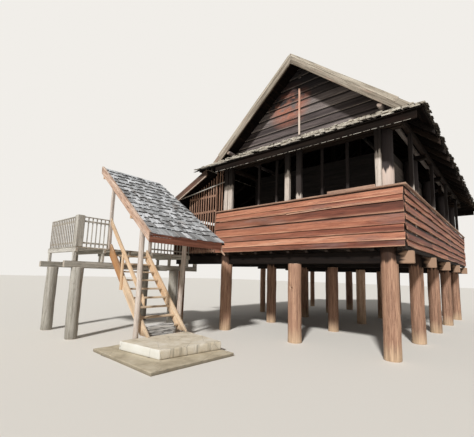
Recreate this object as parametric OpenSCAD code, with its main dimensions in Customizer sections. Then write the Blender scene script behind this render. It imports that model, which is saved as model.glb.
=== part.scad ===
// Stilt house of timber with a gablet roof, lapped board parapets, a left
// passage under a lean-to, and a covered stair on two slabs. Millimetres, +Z up.
// The origin is the centre of the near corner post's foot.

/* [Main posts] */
// Diameter of the round main posts
post_d = 310; // [240:5:360]
// Spacing of the main posts along the front
bay_x = 2140; // [2000:10:2400]
// Spacing of the main posts along the side
bay_y = 2200; // [2000:10:2500]

/* [Floor] */
// Underside of the cross beams above the ground
beam_z = 1790; // [1700:5:2000]
// Depth of the cross beams
beam_h = 240; // [200:5:280]
// Thickness of the cross beams
beam_w = 110; // [80:5:130]
// Depth of the floor joists
joist_h = 90; // [70:5:120]
// Thickness of the floor boards
floor_t = 30; // [20:1:40]

/* [Parapet] */
// Board face past the corner post's centre on the right
par_x = 400; // [360:5:460]
// Board face past the corner post's centre at the front
par_y = 280; // [260:5:340]
// Board face past the left post's centre
par_left = 240; // [220:5:300]
// Height of the parapet boards
par_h = 1150; // [1000:10:1300]
// Thickness of the parapet with its laps
par_t = 40; // [30:1:45]
// Width of a square gallery post
stud = 110; // [80:5:120]

/* [Roof] */
// Eave edge above the ground
eave_z = 4450; // [4400:10:4700]
// Eave overhang past the parapet face
eave_over = 510; // [400:10:600]
// Rise of the main slopes for one unit of run
main_tan = 0.87; // [0.8:0.01:0.95]
// Rise of the end skirts for one unit of run
skirt_tan = 0.60; // [0.55:0.01:0.66]
// Distance from the parapet face in to the gable wall
gable_in = 450; // [420:10:500]
// Vertical thickness of the roof covering
skin = 85; // [60:5:90]
// Vertical depth of the main rafters
raft_h = 120; // [90:5:130]
// Depth of a bargeboard
barge_h = 200; // [160:5:240]

/* [Inner wall] */
// Distance from the front posts in to the room's front wall
room_in = 1000; // [800:10:1200]
// Thickness of the room's board walls
wall_t = 30; // [20:1:40]

/* [Passage] */
// Clear width of the covered passage at the left
pass_w = 1930; // [1800:10:2100]
// Rise of the lean-to roof for one unit of run
lean_tan = 0.45; // [0.4:0.01:0.5]

/* [Landing and stair] */
// Top of the landing above the ground
deck_z = 2030; // [1950:5:2100]
// Length of the landing in front of the house
deck_len = 3340; // [3200:10:3500]
// Width of the landing
deck_w = 1700; // [1500:10:1900]
// Number of risers in the stair
risers = 10; // [9:1:12]
// Going of one step
going = 170; // [160:2:200]
// Height of the first and the last step
edge_rise = 133; // [110:1:180]
// Clear width between the stringers
stair_w = 950; // [850:10:1000]
// Depth of a stringer, square to its slope
string_h = 225; // [190:5:240]
// Rise of the stair roof for one unit of run
stair_tan = 0.75; // [0.72:0.01:0.84]
// Top of the upper slab above the ground
slab_z = 220; // [180:5:260]
// Top of the lower slab above the ground
slab_low = 60; // [40:5:90]

/* [Hidden] */
w = 2 * bay_x;
len = 4 * bay_y;
rows = [for (k = [0:4]) k * bay_y];
xl = -w - par_left;
xr = par_x;
yf = -par_y;
yb = len + par_y;
xc = (xl + xr) / 2;
half = (xr - xl) / 2 + eave_over;
ef = yf - eave_over;
eb = yb + eave_over;
beam_top = beam_z + beam_h;
joist_top = beam_top + joist_h;
floor_z = joist_top + floor_t;
par_z = floor_z - 60;
rail_t = 30;
seat = 0.3;
par_top = par_z + par_h;
rail_top = par_top + rail_t;
skirt_skin = skin - 10;
skirt_raft = raft_h - 20;
gy = yf + gable_in;
gable_t = 40;
barge_t = 30;
verge = yf + 10;
inx = xr - par_t;
iny = yf + par_t;
plate_h = 120;
function mz(x) = eave_z + (half - abs(x - xc)) * main_tan;
function fz(y) = eave_z + (y - ef) * skirt_tan;
front_top = fz(iny) - skirt_skin - skirt_raft;
side_top = mz(inx) - skin - raft_h;
front_bot = front_top - plate_h;
ridge_z = eave_z + half * main_tan;
m_ang = atan(main_tan);
purl_r = 55;
purl_in = 220;
plate_w = 100;
purl_run = inx - plate_w - purl_in - xc;
qz = mz(xc + purl_run) - skin - raft_h - purl_r * cos(m_ang) - purl_r;

// passage and lean-to
pl = xl - pass_w;
lean_hi = eave_z - 190;
lean_x0 = xc - half;
lean_skin = 60;
lean_raft = 80;
function lz(x) = lean_hi + (x - lean_x0) * lean_tan;
lean_l = pl - 350;
lean_r = xl - 60;
lean_f = yf - 330;
lean_b = yb + 330;
pass_stud = 90;
pass_post = 220;
lean_plate_top = lz(pl + par_t) - lean_skin - lean_raft;

// stair
rise = (deck_z - slab_z) / risers;
nose0 = pl + 2610;
s_tan = rise / going;
s_vert = string_h * sqrt(1 + s_tan * s_tan);
deck_x = nose0 - risers * going;
stair_y = 2775;
sy0 = -stair_y;
sy1 = sy0 + stair_w;
string_t = 50;
deck_y1 = yf - 10;
deck_y0 = deck_y1 - deck_len;
deck_l = deck_x - deck_w;
deck_t = 30;
deck_beam_h = 140;
deck_drop = 470;
deck_beam_z = deck_z - deck_drop;
deck_post = 260;
sr_eave = 640;
sr_x0 = nose0 + sr_eave;
sr_x1 = deck_x - 60;
sr_up = 1995;
sr_z0 = slab_z + sr_up;
sr_skin = 60;
sr_raft = 95;
function rz(x) = sr_z0 + (sr_x0 - x) * stair_tan;
// the covering reaches past the stringers at its eave, and narrows upwards
near_over = 490;
near_in = 125;
far_over = 565;
far_in = 230;
// its near edge (s = -1) and far edge (s = 1) at a given x
function edge_y(s, x) = let (t = (sr_x0 - x) / (sr_x0 - sr_x1))
    s < 0 ? sy0 - near_over + t * near_in : sy1 + far_over - t * far_in;
pole_d = 110;
pole_x = nose0 - 210;
pole_yn = sy0 - string_t - 40 - pole_d / 2;
pole_yf = sy1 + string_t + 40 + pole_d / 2;
newel = 70;
newel_x = deck_x - newel / 2;
newel_y = sy0 - string_t - 5;
sr_pl_w = 70;
sr_pl_h = 90;
function plate_top(x) = rz(x + sr_pl_w / 2) - sr_skin - sr_raft;

// Part to show, or all of them

module box(x0, x1, y0, y1, z0, z1) {
    translate([x0, y0, z0]) cube([x1 - x0, y1 - y0, z1 - z0]);
}

// prism with its outline in X and Z, from y0 to y1
module prism_y(pts, y0, y1) {
    translate([0, y1, 0]) rotate([90, 0, 0]) linear_extrude(height = y1 - y0) polygon(pts);
}

// prism with its outline in Y and Z, from x0 to x1
module prism_x(pts, x0, x1) {
    translate([x0, 0, 0]) rotate([90, 0, 90]) linear_extrude(height = x1 - x0) polygon(pts);
}

module round_post(x, y, z0, z1, d) {
    translate([x, y, z0]) cylinder(h = z1 - z0, d = d, $fn = 40);
}

// full height post with a mortise for the cross beam
module main_post(x, y) {
    difference() {
        round_post(x, y, 0, front_bot, post_d);
        box(x - post_d, x + post_d, y - beam_w / 2, y + beam_w / 2, beam_z, beam_top);
    }
}

module front_posts() {
    color("#8a5a3c") {
        main_post(0, 0);
        // the middle one stands a little right and has an old cut pocket, 60 deep
        x = -bay_x + 50;
        z = beam_z - 540;
        difference() {
            round_post(x, 0, 0, beam_z, post_d);
            prism_y([[x - 35, z], [x + 25, z - 10], [x + 20, z - 100]], -post_d, 60 - post_d / 2);
        }
        main_post(-w, 0);
    }
}

module side_posts() {
    color("#7e543a") for (k = [1:4], x = [0, -w]) main_post(x, rows[k]);
}

module middle_posts() {
    color("#74503a") for (k = [1:4]) round_post(-bay_x, rows[k], 0, beam_z, post_d - 20);
}

module passage_posts() {
    color("#6a5444") for (k = [0:4]) {
        round_post(pl + 200, rows[k], 0, beam_z, pass_post);
        box(pl + par_t, pl + par_t + pass_stud, rows[k] - 45, rows[k] + 45, floor_z, lean_plate_top - 90);
    }
}

module cross_beams() {
    color("#4e3a2c") for (y = rows)
        box(pl - 60, xr + 40, y - beam_w / 2, y + beam_w / 2, beam_z, beam_top);
}

joist_n = 9;
module floor_joists() {
    color("#4a382c") {
        for (k = [0:joist_n - 1])
            let (x = -w + 230 + k * (w - 460) / (joist_n - 1))
                box(x - 30, x + 30, iny, yb - par_t, beam_top, joist_top);
        for (x = [xl + 30, xr - par_t - 60, for (k = [0:3]) pl + par_t + k * 440])
            box(x, x + 60, iny, yb - par_t, beam_top, joist_top);
    }
}

module floor_boards() {
    color("#6b4f3c") difference() {
        box(xl, inx, iny, yb - par_t, joist_top, floor_z);
        for (x = [0, -w], y = rows) round_post(x, y, joist_top - 10, floor_z + 10, post_d + 1);
    }
    color("#66503e") box(pl + par_t, xl - 1, iny, yb - par_t, joist_top, floor_z);
}

module front_parapet() {
    color("#8c4a34") box(xl, xr, yf, iny, par_z, par_top);
}

module right_parapet() {
    color("#84462f") box(inx, xr, iny, yb - par_t, par_z, par_top);
}

module back_parapet() {
    color("#804530") box(pl, xr, yb - par_t, yb, par_z, par_top);
}

module passage_parapet() {
    color("#7a5038") box(pl, pl + par_t, iny, yb - par_t, par_z, par_top);
}

module parapet_rails() {
    color("#9a6a50") {
        box(xl, xr + 20, yf - 20, iny, par_top, rail_top);
        box(inx, xr + 20, iny + 1, yb - par_t - 1, par_top, rail_top);
        box(pl - 20, xr + 20, yb - par_t, yb + 20, par_top, rail_top);
        box(pl - 20, pl + par_t, iny, yb - par_t - 1, par_top, rail_top);
        box(-1120, -130, yf - 15, iny - 5, rail_top, rail_top + 55);
    }
}

// square posts inside the parapet: left edge and width of those at the two ends
end_studs = [[-130, stud], [-bay_x + 220, stud + 20], [-bay_x - 95, stud + 15],
             [-w + 30, stud + 10], [-w + 182, stud + 25]];
side_first = 700;
side_last = 1050;
side_stud_y = [for (k = [0:3]) side_first + k * (len - side_first - side_last) / 3];
// thin posts under the sill of the gable wall
thin_x = [-0.4 * bay_x, -0.685 * bay_x, -1.286 * bay_x, -1.56 * bay_x];
module gallery_posts() {
    deep = min(stud - 30, -post_d / 2 - 5 - iny);
    color("#a08872") for (p = end_studs, y = [iny, yb - par_t - deep])
        box(p[0], p[0] + p[1], y, y + deep, floor_z, front_bot);
    color("#8a7462") for (y = side_stud_y)
        box(inx - 80, inx, y - 40, y + 40, floor_z, front_top);
    color("#7a6656") for (x = thin_x, y = [gy, len - gy - 60])
        box(x - 30, x + 30, y, y + 60, floor_z, sill_bot);
}

sill_bot = side_top - 108;
eave_h = 155;
eave_t = 25;
// end plates on the gallery posts, sills under the gable walls, and the eave boards on the
// lower ends of the skirt rafters
module end_beams() {
    back = ef + skirt_foot - seat;
    z1 = fz(back - eave_t) - skirt_skin - 3;
    color("#5a4636") {
        for (y = [gy - 20, len - gy - 80])
            box(xl + par_t + plate_w, inx - plate_w, y, y + 100, sill_bot, side_top);
        for (y = [iny, yb - par_t - stud]) box(xl + par_t, inx, y, y + stud, front_bot, front_top);
    }
    color("#4a3c32") for (y = [back - eave_t, len - back])
        box(xl + 400, xr + 340, y, y + eave_t, z1 - eave_h, z1);
}

module side_plates() {
    y0 = iny + 55;
    color("#5a4636") {
        box(inx - plate_w, inx, y0, len - y0, front_top, side_top);
        box(xl + par_t, xl + par_t + plate_w, y0, len - y0, front_top, side_top);
    }
}

module tie_beams() {
    color("#544234") for (y = rows)
        box(xl + par_t, inx, y - 55, y + 55, front_bot, front_top);
}

ridge_h = 160;
ridge_top = ridge_z - skin - raft_h - 40 * main_tan;
// posts under the ridge beam and the purlins, on the tie beams and the sills
king_y = gy + gable_t + 46;
king_rows = [[king_y, side_top], [rows[1], front_top], [rows[2], front_top], [rows[3], front_top],
             [len - king_y, side_top]];
module king_posts() {
    color("#544234") for (r = king_rows) {
        box(xc - 50, xc + 50, r[0] - 45, r[0] + 45, r[1], ridge_top - ridge_h);
        for (s = [-1, 1])
            let (x = xc + s * (purl_run - purl_r * sin(m_ang)))
                box(x - 45, x + 45, r[0] - 45, r[0] + 45, r[1], qz);
    }
}

module purlin_at(s, y0, y1, r) {
    translate([xc + s * (purl_run - purl_r * sin(m_ang)), y0, qz + purl_r])
        rotate([-90, 0, 0]) cylinder(h = y1 - y0, r = r, $fn = 24);
}

module purlins() {
    color("#5e4a3a") {
        for (s = [-1, 1]) purlin_at(s, verge, len - verge, purl_r);
        box(xc - 40, xc + 40, gy, len - gy, ridge_top - ridge_h, ridge_top);
    }
}

// one pair of main rafters; run is how far they reach from the middle
module rafter_pair(y, run) {
    for (s = [-1, 1])
        prism_y([[xc + s * 1, mz(xc) - skin - 1 * main_tan],
                 [xc + s * run, mz(xc + run) - skin],
                 [xc + s * run, mz(xc + run) - skin - raft_h],
                 [xc + s * 1, mz(xc) - skin - raft_h - 1 * main_tan]], y - 25, y + 25);
}

raft_y0 = gy + gable_t + 90;
raft_n = 13;
fly_run = half - (fz(verge + 60) - eave_z + skin + raft_h + 30) / main_tan;
module rafters() {
    color("#5e4a3a") {
        for (k = [0:raft_n]) rafter_pair(raft_y0 + k * (len - 2 * raft_y0) / raft_n, half - 70);
        rafter_pair(verge + 30, fly_run);
        rafter_pair(len - verge - 30, fly_run);
        skirt_rafters();
    }
}

skirt_n = 8;
skirt_foot = 60;
module skirt_rafters() {
    for (k = [0:skirt_n]) {
        x = xl + 220 + k * (xr - xl - 440) / skirt_n;
        ya = ef + skirt_foot;
        yb = gy - 21;
        pts = [[ya, fz(ya) - skirt_skin], [yb, fz(yb) - skirt_skin],
               [yb, fz(yb) - skirt_skin - skirt_raft], [ya, fz(ya) - skirt_skin - skirt_raft]];
        prism_x(pts, x - 25, x + 25);
        prism_x([for (p = pts) [len - p[0], p[1]]], x - 25, x + 25);
    }
}

// band of one main slope, s = 1 right, -1 left
module slope_band(s, y0, y1) {
    prism_y([[xc, ridge_z], [xc + s * half, eave_z], [xc + s * half, eave_z - skin],
             [xc, ridge_z - skin]], y0, y1);
}

module slope(s) {
    slope_band(s, verge, len - verge);
    intersection() {
        slope_band(s, ef, eb);
        prism_x([[ef, eave_z - 400], [ef, eave_z], [len / 2, fz(len / 2)], [eb, eave_z],
                 [eb, eave_z - 400]], xc - half - 10, xc + half + 10);
    }
}

module right_roof() { color("#5b5650") slope(1); }
module left_roof() { color("#57524c") slope(-1); }

// end skirt, cut by the underside of the main slopes and notched round the purlins
module skirt() {
    notch = purl_r + 1;
    difference() {
        intersection() {
            prism_x([[ef, eave_z], [gy, fz(gy)], [gy, fz(gy) - skirt_skin], [ef, eave_z - skirt_skin]],
                    xc - half, xc + half);
            prism_y([[xc - half, eave_z - 400], [xc + half, eave_z - 400], [xc + half, eave_z - skin],
                     [xc, ridge_z - skin], [xc - half, eave_z - skin]], ef - 10, gy + 10);
        }
        for (s = [-1, 1]) let (x = xc + s * (purl_run - purl_r * sin(m_ang)))
            box(x - notch, x + notch, verge - 10, gy + 10, qz - 1, qz + 400);
    }
}

module end_skirts() {
    color("#635e57") {
        skirt();
        translate([0, len, 0]) mirror([0, 1, 0]) skirt();
    }
}

module ridge_cap() {
    z = mz(xc + 110);
    color("#6a645c") prism_y([[xc - 110, z], [xc, ridge_z], [xc + 110, z], [xc + 110, z + 22],
                              [xc, ridge_z + 24], [xc - 110, z + 22]], verge, len - verge);
}

barge_v = barge_h * sqrt(1 + main_tan * main_tan);
barge_up = 30;
module barge(y0, y1) {
    foot = half - (fz(verge - barge_t) - eave_z + barge_v - barge_up + 5) / main_tan;
    foot2 = half - 335;
    for (s = [-1, 1])
        prism_y([[xc + s * 0.5, ridge_z + barge_up], [xc + s * foot2, mz(xc + foot2) + barge_up],
                 [xc + s * foot2, fz(verge) + 4],
                 [xc + s * foot, mz(xc + foot) + barge_up - barge_v],
                 [xc + s * 0.5, ridge_z + barge_up - barge_v]], y0, y1);
}

module bargeboards() {
    color("#a89a84") {
        barge(verge - barge_t, verge);
        barge(len - verge, len - verge + barge_t);
    }
}

module gable_wall() {
    hb = half - (side_top - eave_z + skin) / main_tan;
    difference() {
        prism_y([[xc - hb, side_top], [xc + hb, side_top], [xc, ridge_z - skin]], gy, gy + gable_t);
        for (s = [-1, 1]) purlin_at(s, gy - 10, gy + gable_t + 10, purl_r + 0.5);
        box(xc - 40.5, xc + 40.5, gy - 10, gy + gable_t + 10, ridge_top - ridge_h - 0.5, ridge_top + 0.5);
    }
}

module gable_walls() {
    color("#6e625a") {
        gable_wall();
        translate([0, len, 0]) mirror([0, 1, 0]) gable_wall();
    }
}

module gable_strips() {
    z1 = ridge_top - ridge_h - 300;
    color("#a08872") {
        box(xc - 25, xc + 25, gy - 22, gy - 0.3, fz(gy) + 40, z1);
        box(xc - 25, xc + 25, len - gy + 0.3, len - gy + 22, fz(gy) + 40, z1);
    }
}

rx0 = -w + post_d / 2 + 20;
rx1 = -post_d / 2 - 10;
ry1 = len - room_in;
// board walls of the inner room; the one beside the passage has a doorway
door_in = 300;
door_w = 850;
door_h = 1850;
door_y0 = bay_y + door_in;
door_y1 = door_y0 + door_w;
door_z = floor_z + door_h;
module room_walls() {
    e = 0.3;
    color("#4a3c32") {
        box(rx0, rx1, room_in, room_in + wall_t, floor_z, front_bot);
        box(rx0, rx1, ry1 - wall_t, ry1, floor_z, front_bot);
        box(rx1 - wall_t, rx1, room_in + wall_t + e, ry1 - wall_t - e, floor_z, front_bot);
        box(rx0, rx0 + wall_t, room_in + wall_t + e, door_y0, floor_z, front_bot);
        box(rx0, rx0 + wall_t, door_y1, ry1 - wall_t - e, floor_z, front_bot);
        box(rx0, rx0 + wall_t, door_y0 + e, door_y1 - e, door_z, front_bot);
    }
}

// slatted screen left of the front parapet, with a way in at its left end
scr_gap = 700;
scr_n = 12;
scr_w = 34;
scr_t = 18;
scr_rail = 60;
module front_screen() {
    back = yf + scr_t;
    x0 = pl + scr_gap + 60;
    x1 = xl - 5;
    p = (x1 - x0 - scr_w) / (scr_n - 1);
    color("#b08c68") {
        for (k = [0:scr_n - 1])
            let (x = x0 + k * p)
                box(x, x + scr_w, yf, back, par_z, lz(x) - lean_skin - lean_raft - 2);
        for (z = [par_z + 30, par_top + 40]) box(x0 - 20, x1, back, iny, z, z + scr_rail);
        zt = lz(x0) - lean_skin - lean_raft - 30;
        box(x0 - 20, x1, back, iny, zt - scr_rail, zt);
        // a few more battens stand inside the end of the front parapet
        for (x = [xl - 40, xl + 68, xl + 162])
            box(x, x + scr_w, iny + seat, iny + scr_t, floor_z, front_bot - seat);
    }
}

module lean_roof() {
    color("#67625b") prism_y([[lean_l, lz(lean_l)], [lean_r, lz(lean_r)],
        [lean_r, lz(lean_r) - lean_skin], [lean_l, lz(lean_l) - lean_skin]], lean_f, lean_b);
}

lean_barge = 215;
lean_n = 12;
module lean_frame() {
    x0 = lean_l + 30;
    x1 = lean_r - 20;
    color("#5e4a3a") {
        for (k = [0:lean_n])
            let (y = lean_f + 35 + k * (lean_b - lean_f - 70) / lean_n)
                prism_y([[x0, lz(x0) - lean_skin], [x1, lz(x1) - lean_skin],
                         [x1, lz(x1) - lean_skin - lean_raft], [x0, lz(x0) - lean_skin - lean_raft]],
                        y - 25, y + 25);
        box(pl + par_t, pl + par_t + pass_stud, iny, yb - par_t, lean_plate_top - 90, lean_plate_top);
    }
    // thin lath from the back of the front bargeboard to the first gallery post
    xa = pl + 650;
    xb = -w + 30;
    dx = xb - xa;
    dy = iny - lean_f;
    za = lz(xa) - lean_barge + 30;
    zb = front_bot - 365;
    color("#a0937e") translate([xa, lean_f + seat, 0]) rotate([0, 0, atan(dy / dx)])
        prism_y([[0, za - 14], [0, za + 14], [sqrt(dx * dx + dy * dy), zb + 14],
                 [sqrt(dx * dx + dy * dy), zb - 14]], 0, 16);
}

module lean_bargeboards() {
    x0 = lean_l - 10;
    x1 = lean_r - 25;
    color("#a0937e") for (y = [lean_f - 25, lean_b])
        prism_y([[x0, lz(x0) + 10], [x1, lz(x1) + 10], [x1, lz(x1) - lean_barge],
                 [x0, lz(x0) - lean_barge]], y, y + 25);
}

module landing_floor() {
    color("#8a7660") box(deck_l, deck_x, deck_y0, deck_y1, deck_z - deck_t, deck_z);
}

module landing_beams() {
    zt = deck_z - deck_t;
    color("#8c8478") {
        for (x = [deck_x - 140, deck_l + 60]) {
            box(x, x + 80, deck_y0 - 180, beam_w / 2, deck_beam_z, deck_beam_z + deck_beam_h);
            for (k = [0:5])
                let (y = deck_y0 + k * (deck_len - 60) / 5)
                    box(x, x + 80, y, y + 60, deck_beam_z + deck_beam_h + seat, zt - 90);
        }
        box(deck_x - 140, deck_x - 60, -beam_w / 2, beam_w / 2, deck_beam_z + deck_beam_h + seat, beam_z);
        for (k = [0:5])
            let (y = deck_y0 + k * (deck_len - 60) / 5)
                box(deck_l, deck_x, y, y + 60, zt - 90 + seat, zt);
    }
}

module landing_posts() {
    color("#8a847a") for (x = [deck_x - 100, deck_l + 100], y = [deck_y0 + 130, deck_y1 - 500])
        round_post(x, y, 0, deck_beam_z, deck_post);
}

bal_h = 680;
// one run of slatted balustrade along Y
module bal_y(x, y0, y1) {
    n = max(2, round((y1 - y0) / 110));
    for (k = [0:n]) let (y = y0 + k * (y1 - y0 - 22) / n)
        box(x, x + 22, y, y + 22, deck_z, deck_z + bal_h);
    for (z = [70, bal_h - 110]) box(x + 22, x + 40, y0, y1, deck_z + z, deck_z + z + 40);
    box(x, x + 40, y0, y1, deck_z + bal_h, deck_z + bal_h + 22);
}

module bal_x(y, x0, x1) {
    n = max(2, round((x1 - x0) / 110));
    for (k = [0:n]) let (x = x0 + k * (x1 - x0 - 22) / n)
        box(x, x + 22, y, y + 22, deck_z, deck_z + bal_h);
    for (z = [70, bal_h - 110]) box(x0, x1, y + 22, y + 40, deck_z + z, deck_z + z + 40);
    box(x0, x1, y, y + 40, deck_z + bal_h, deck_z + bal_h + 22);
}

module landing_balustrade() {
    color("#a89680") {
        box(deck_x - 150, deck_x, deck_y0, deck_y0 + 150, deck_z, deck_z + 720);
        bal_y(deck_x - 60, deck_y0 + 150 + seat, newel_y - newel / 2 - seat);
        bal_y(deck_x - 60, pole_yf - 5 + newel / 2 + seat, deck_y1 - 20);
        bal_x(deck_y0 + 30, deck_l + 20, deck_x - 150 - seat);
    }
}

// a stringer between the slab and the landing; up is its top above the line of the steps
near_up = 150;
module stringer(y, up) {
    xa = nose0 + up / s_tan;
    xb = nose0 - (s_vert - up) / s_tan;
    zt = deck_z + up;
    prism_y([[xa, slab_z], [deck_x, zt - 30], [deck_x, zt - s_vert], [xb, slab_z]], y, y + string_t);
}

module stair_stringers() {
    color("#b07c50") {
        stringer(sy0 - string_t, near_up);
        stringer(sy1, near_up - 65);
    }
}

// open treads; the first and last steps are lower than the others
tread_d = 150;
tread_t = 36;
module stair_treads() {
    xt = nose0 - going - 10;
    step = (xt - deck_x - 96) / (risers - 2);
    lift = (deck_z - slab_z - 2 * edge_rise) / (risers - 2);
    color("#a08468") for (k = [0:risers - 2])
        let (x = xt - k * step, z = slab_z + edge_rise + k * lift)
            box(x - tread_d, x, sy0, sy1, z - tread_t, z);
}

// rail between the newel and the near pole, with a baluster nailed on the stringer
rail_tan = s_tan + 0.035;
rail_h = 150;
rail_w = 34;
module stair_handrail() {
    y0 = pole_yn + pole_d / 2 + 0.5;
    xa = nose0 - 40;
    xb = deck_x + seat;
    za = slab_z + 735;
    bx = nose0 - 980;
    under = za + (xa - bx) * rail_tan - rail_h - seat;
    top = slab_z + s_tan * (nose0 - bx) + near_up;
    color("#b99a76") {
        prism_y([[xa, za], [xb, za + (xa - xb) * rail_tan], [xb, za + (xa - xb) * rail_tan - rail_h],
                 [xa, za - rail_h]], y0, y0 + rail_w);
        prism_y([[bx - 75, under + 75 * rail_tan], [bx, under], [bx, top - s_vert],
                 [bx - 75, top - s_vert]], y0 + 4, sy0 - string_t - seat);
    }
}

// strip of a sloped outline that keeps to one edge of the stair roof
past = 200;
module roof_strip(pts, s, a, b) {
    xa = sr_x0 + past;
    xb = sr_x1 - past;
    intersection() {
        prism_y(pts, sy0 - near_over - past, sy1 + far_over + past);
        linear_extrude(height = rz(sr_x1) + past)
            polygon([[xa, edge_y(s, xa) + a], [xb, edge_y(s, xb) + a],
                     [xb, edge_y(s, xb) + b], [xa, edge_y(s, xa) + b]]);
    }
}

module stair_roof() {
    color("#8f8b84") intersection() {
        prism_y([[sr_x0, rz(sr_x0)], [sr_x1, rz(sr_x1)], [sr_x1, rz(sr_x1) - sr_skin],
                 [sr_x0, rz(sr_x0) - sr_skin]], sy0 - near_over - past, sy1 + far_over + past);
        linear_extrude(height = rz(sr_x1) + past)
            polygon([[sr_x0, edge_y(-1, sr_x0)], [sr_x1, edge_y(-1, sr_x1)],
                     [sr_x1, edge_y(1, sr_x1)], [sr_x0, edge_y(1, sr_x0)]]);
    }
}

// the far verge board stands back under the overhang
far_back = 95;
sr_raft_w = 50;
fascia_t = 25;
module stair_roof_frame() {
    x0 = sr_x0 - fascia_t - 5;
    x1 = sr_x1 + 10;
    pts = [[x0, rz(x0) - sr_skin], [x1, rz(x1) - sr_skin],
           [x1, rz(x1) - sr_skin - sr_raft], [x0, rz(x0) - sr_skin - sr_raft]];
    color("#9a7c5e") {
        for (a = [30, 570]) roof_strip(pts, -1, a, a + sr_raft_w);
        for (a = [600, 52]) roof_strip(pts, 1, -far_back - a, -far_back - a + sr_raft_w);
        for (x = [pole_x, newel_x])
            box(x - sr_pl_w / 2, x + sr_pl_w / 2, edge_y(-1, x) + 30, edge_y(1, x) - far_back - 10,
                plate_top(x) - sr_pl_h, plate_top(x));
    }
}

fascia_h = 115;
module stair_fascia() {
    x0 = sr_x0 - 4;
    zb = rz(sr_x0) - sr_skin;
    color("#8e4c34") box(x0 - fascia_t, x0, edge_y(-1, sr_x0) + 2, edge_y(1, sr_x0) - far_back - 8,
                         zb - fascia_h, zb);
    // near verge board, and the far one under the overhang, whose lower end runs past the fascia
    near_low = 165;
    far_low = 240;
    tail = sr_x0 + 85;
    color("#b98a62") {
        roof_strip([[sr_x0, rz(sr_x0) + 10], [sr_x1, rz(sr_x1) + 10], [sr_x1, rz(sr_x1) - near_low],
                    [sr_x0, rz(sr_x0) - near_low]], -1, -fascia_t - seat, -seat);
        roof_strip([[x0, rz(x0) - sr_skin - seat], [sr_x1, rz(sr_x1) - sr_skin - seat],
                    [sr_x1, rz(sr_x1) - far_low], [tail, rz(tail) - far_low],
                    [tail, rz(tail) - far_low + 25], [x0, rz(x0) - far_low + 60]],
                   1, -far_back, -far_back + fascia_t);
    }
}

// the far pole leans: its foot stands further from the slabs than its head
pole_foot = 180;
pole_head = 45;
module stair_poles() {
    zt = plate_top(pole_x) - sr_pl_h;
    xf = pole_x - pole_foot;
    xt = pole_x - pole_head;
    color("#a08a74") {
        round_post(pole_x + 50, pole_yn, slab_low, zt, pole_d);
        intersection() {
            translate([xf, pole_yf, 0]) rotate([0, atan((xt - xf) / zt), 0])
                translate([0, 0, -60]) cylinder(h = zt + 120, d = pole_d, $fn = 40);
            box(xf - 300, xt + 300, pole_yf - 100, pole_yf + 100, 0, zt);
        }
        for (y = [newel_y - newel / 2, pole_yf - 5 - newel / 2])
            box(newel_x - newel / 2, newel_x + newel / 2, y, y + newel, deck_z,
                plate_top(newel_x) - sr_pl_h);
    }
}

// block behind the upper slab, wider at its top
module foot_block() {
    top = slab_z + 190;
    color("#b8b2a8") prism_x([[sy0 + 110, slab_low], [sy1 - 250, slab_low], [sy1 - 215, top],
                              [sy0 + 15, top]], nose0 - 145, nose0 - 55);
}

module slab_of(pts, z0, z1) {
    translate([0, 0, z0]) linear_extrude(height = z1 - z0) polygon(pts);
}

// the slabs' corners, along X from the stair's foot and past the stringers' faces along Y
up_back = 40;
up_run_near = 1140;
up_run_far = 1290;
up_near_l = 600;
up_near_r = 485;
up_far_l = 50;
far_r = 125;
module upper_slab() {
    pts = [[nose0 + up_back, sy0 - up_near_l], [nose0 + up_run_near, sy0 - up_near_r],
           [nose0 + up_run_far, sy1 - far_r], [nose0 + up_back, sy1 + up_far_l]];
    color("#b9b2a4") slab_of(pts, slab_low, slab_z);
}

low_back = 360;
low_run_near = 1600;
low_run_far = 1630;
low_near_l = 895;
low_near_r = 955;
low_far_l = 65;
module lower_slab() {
    pts = [[nose0 - low_back, sy0 - low_near_l], [nose0 + low_run_near, sy0 - low_near_r],
           [nose0 + low_run_far, sy1 - far_r], [nose0 - low_back, sy1 + low_far_l]];
    color("#a89f90") slab_of(pts, 0, slab_low);
}

front_posts();
side_posts();
middle_posts();
passage_posts();
cross_beams();
floor_joists();
floor_boards();
front_parapet();
right_parapet();
back_parapet();
passage_parapet();
parapet_rails();
gallery_posts();
end_beams();
side_plates();
tie_beams();
king_posts();
purlins();
rafters();
right_roof();
left_roof();
end_skirts();
ridge_cap();
bargeboards();
gable_walls();
gable_strips();
room_walls();
front_screen();
lean_roof();
lean_frame();
lean_bargeboards();
landing_floor();
landing_beams();
landing_posts();
landing_balustrade();
stair_stringers();
stair_treads();
stair_handrail();
stair_roof();
stair_roof_frame();
stair_fascia();
stair_poles();
foot_block();
upper_slab();
lower_slab();
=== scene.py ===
import math
import random
from functools import partial

import bmesh
import bpy
from mathutils import Matrix, Vector, noise


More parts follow.
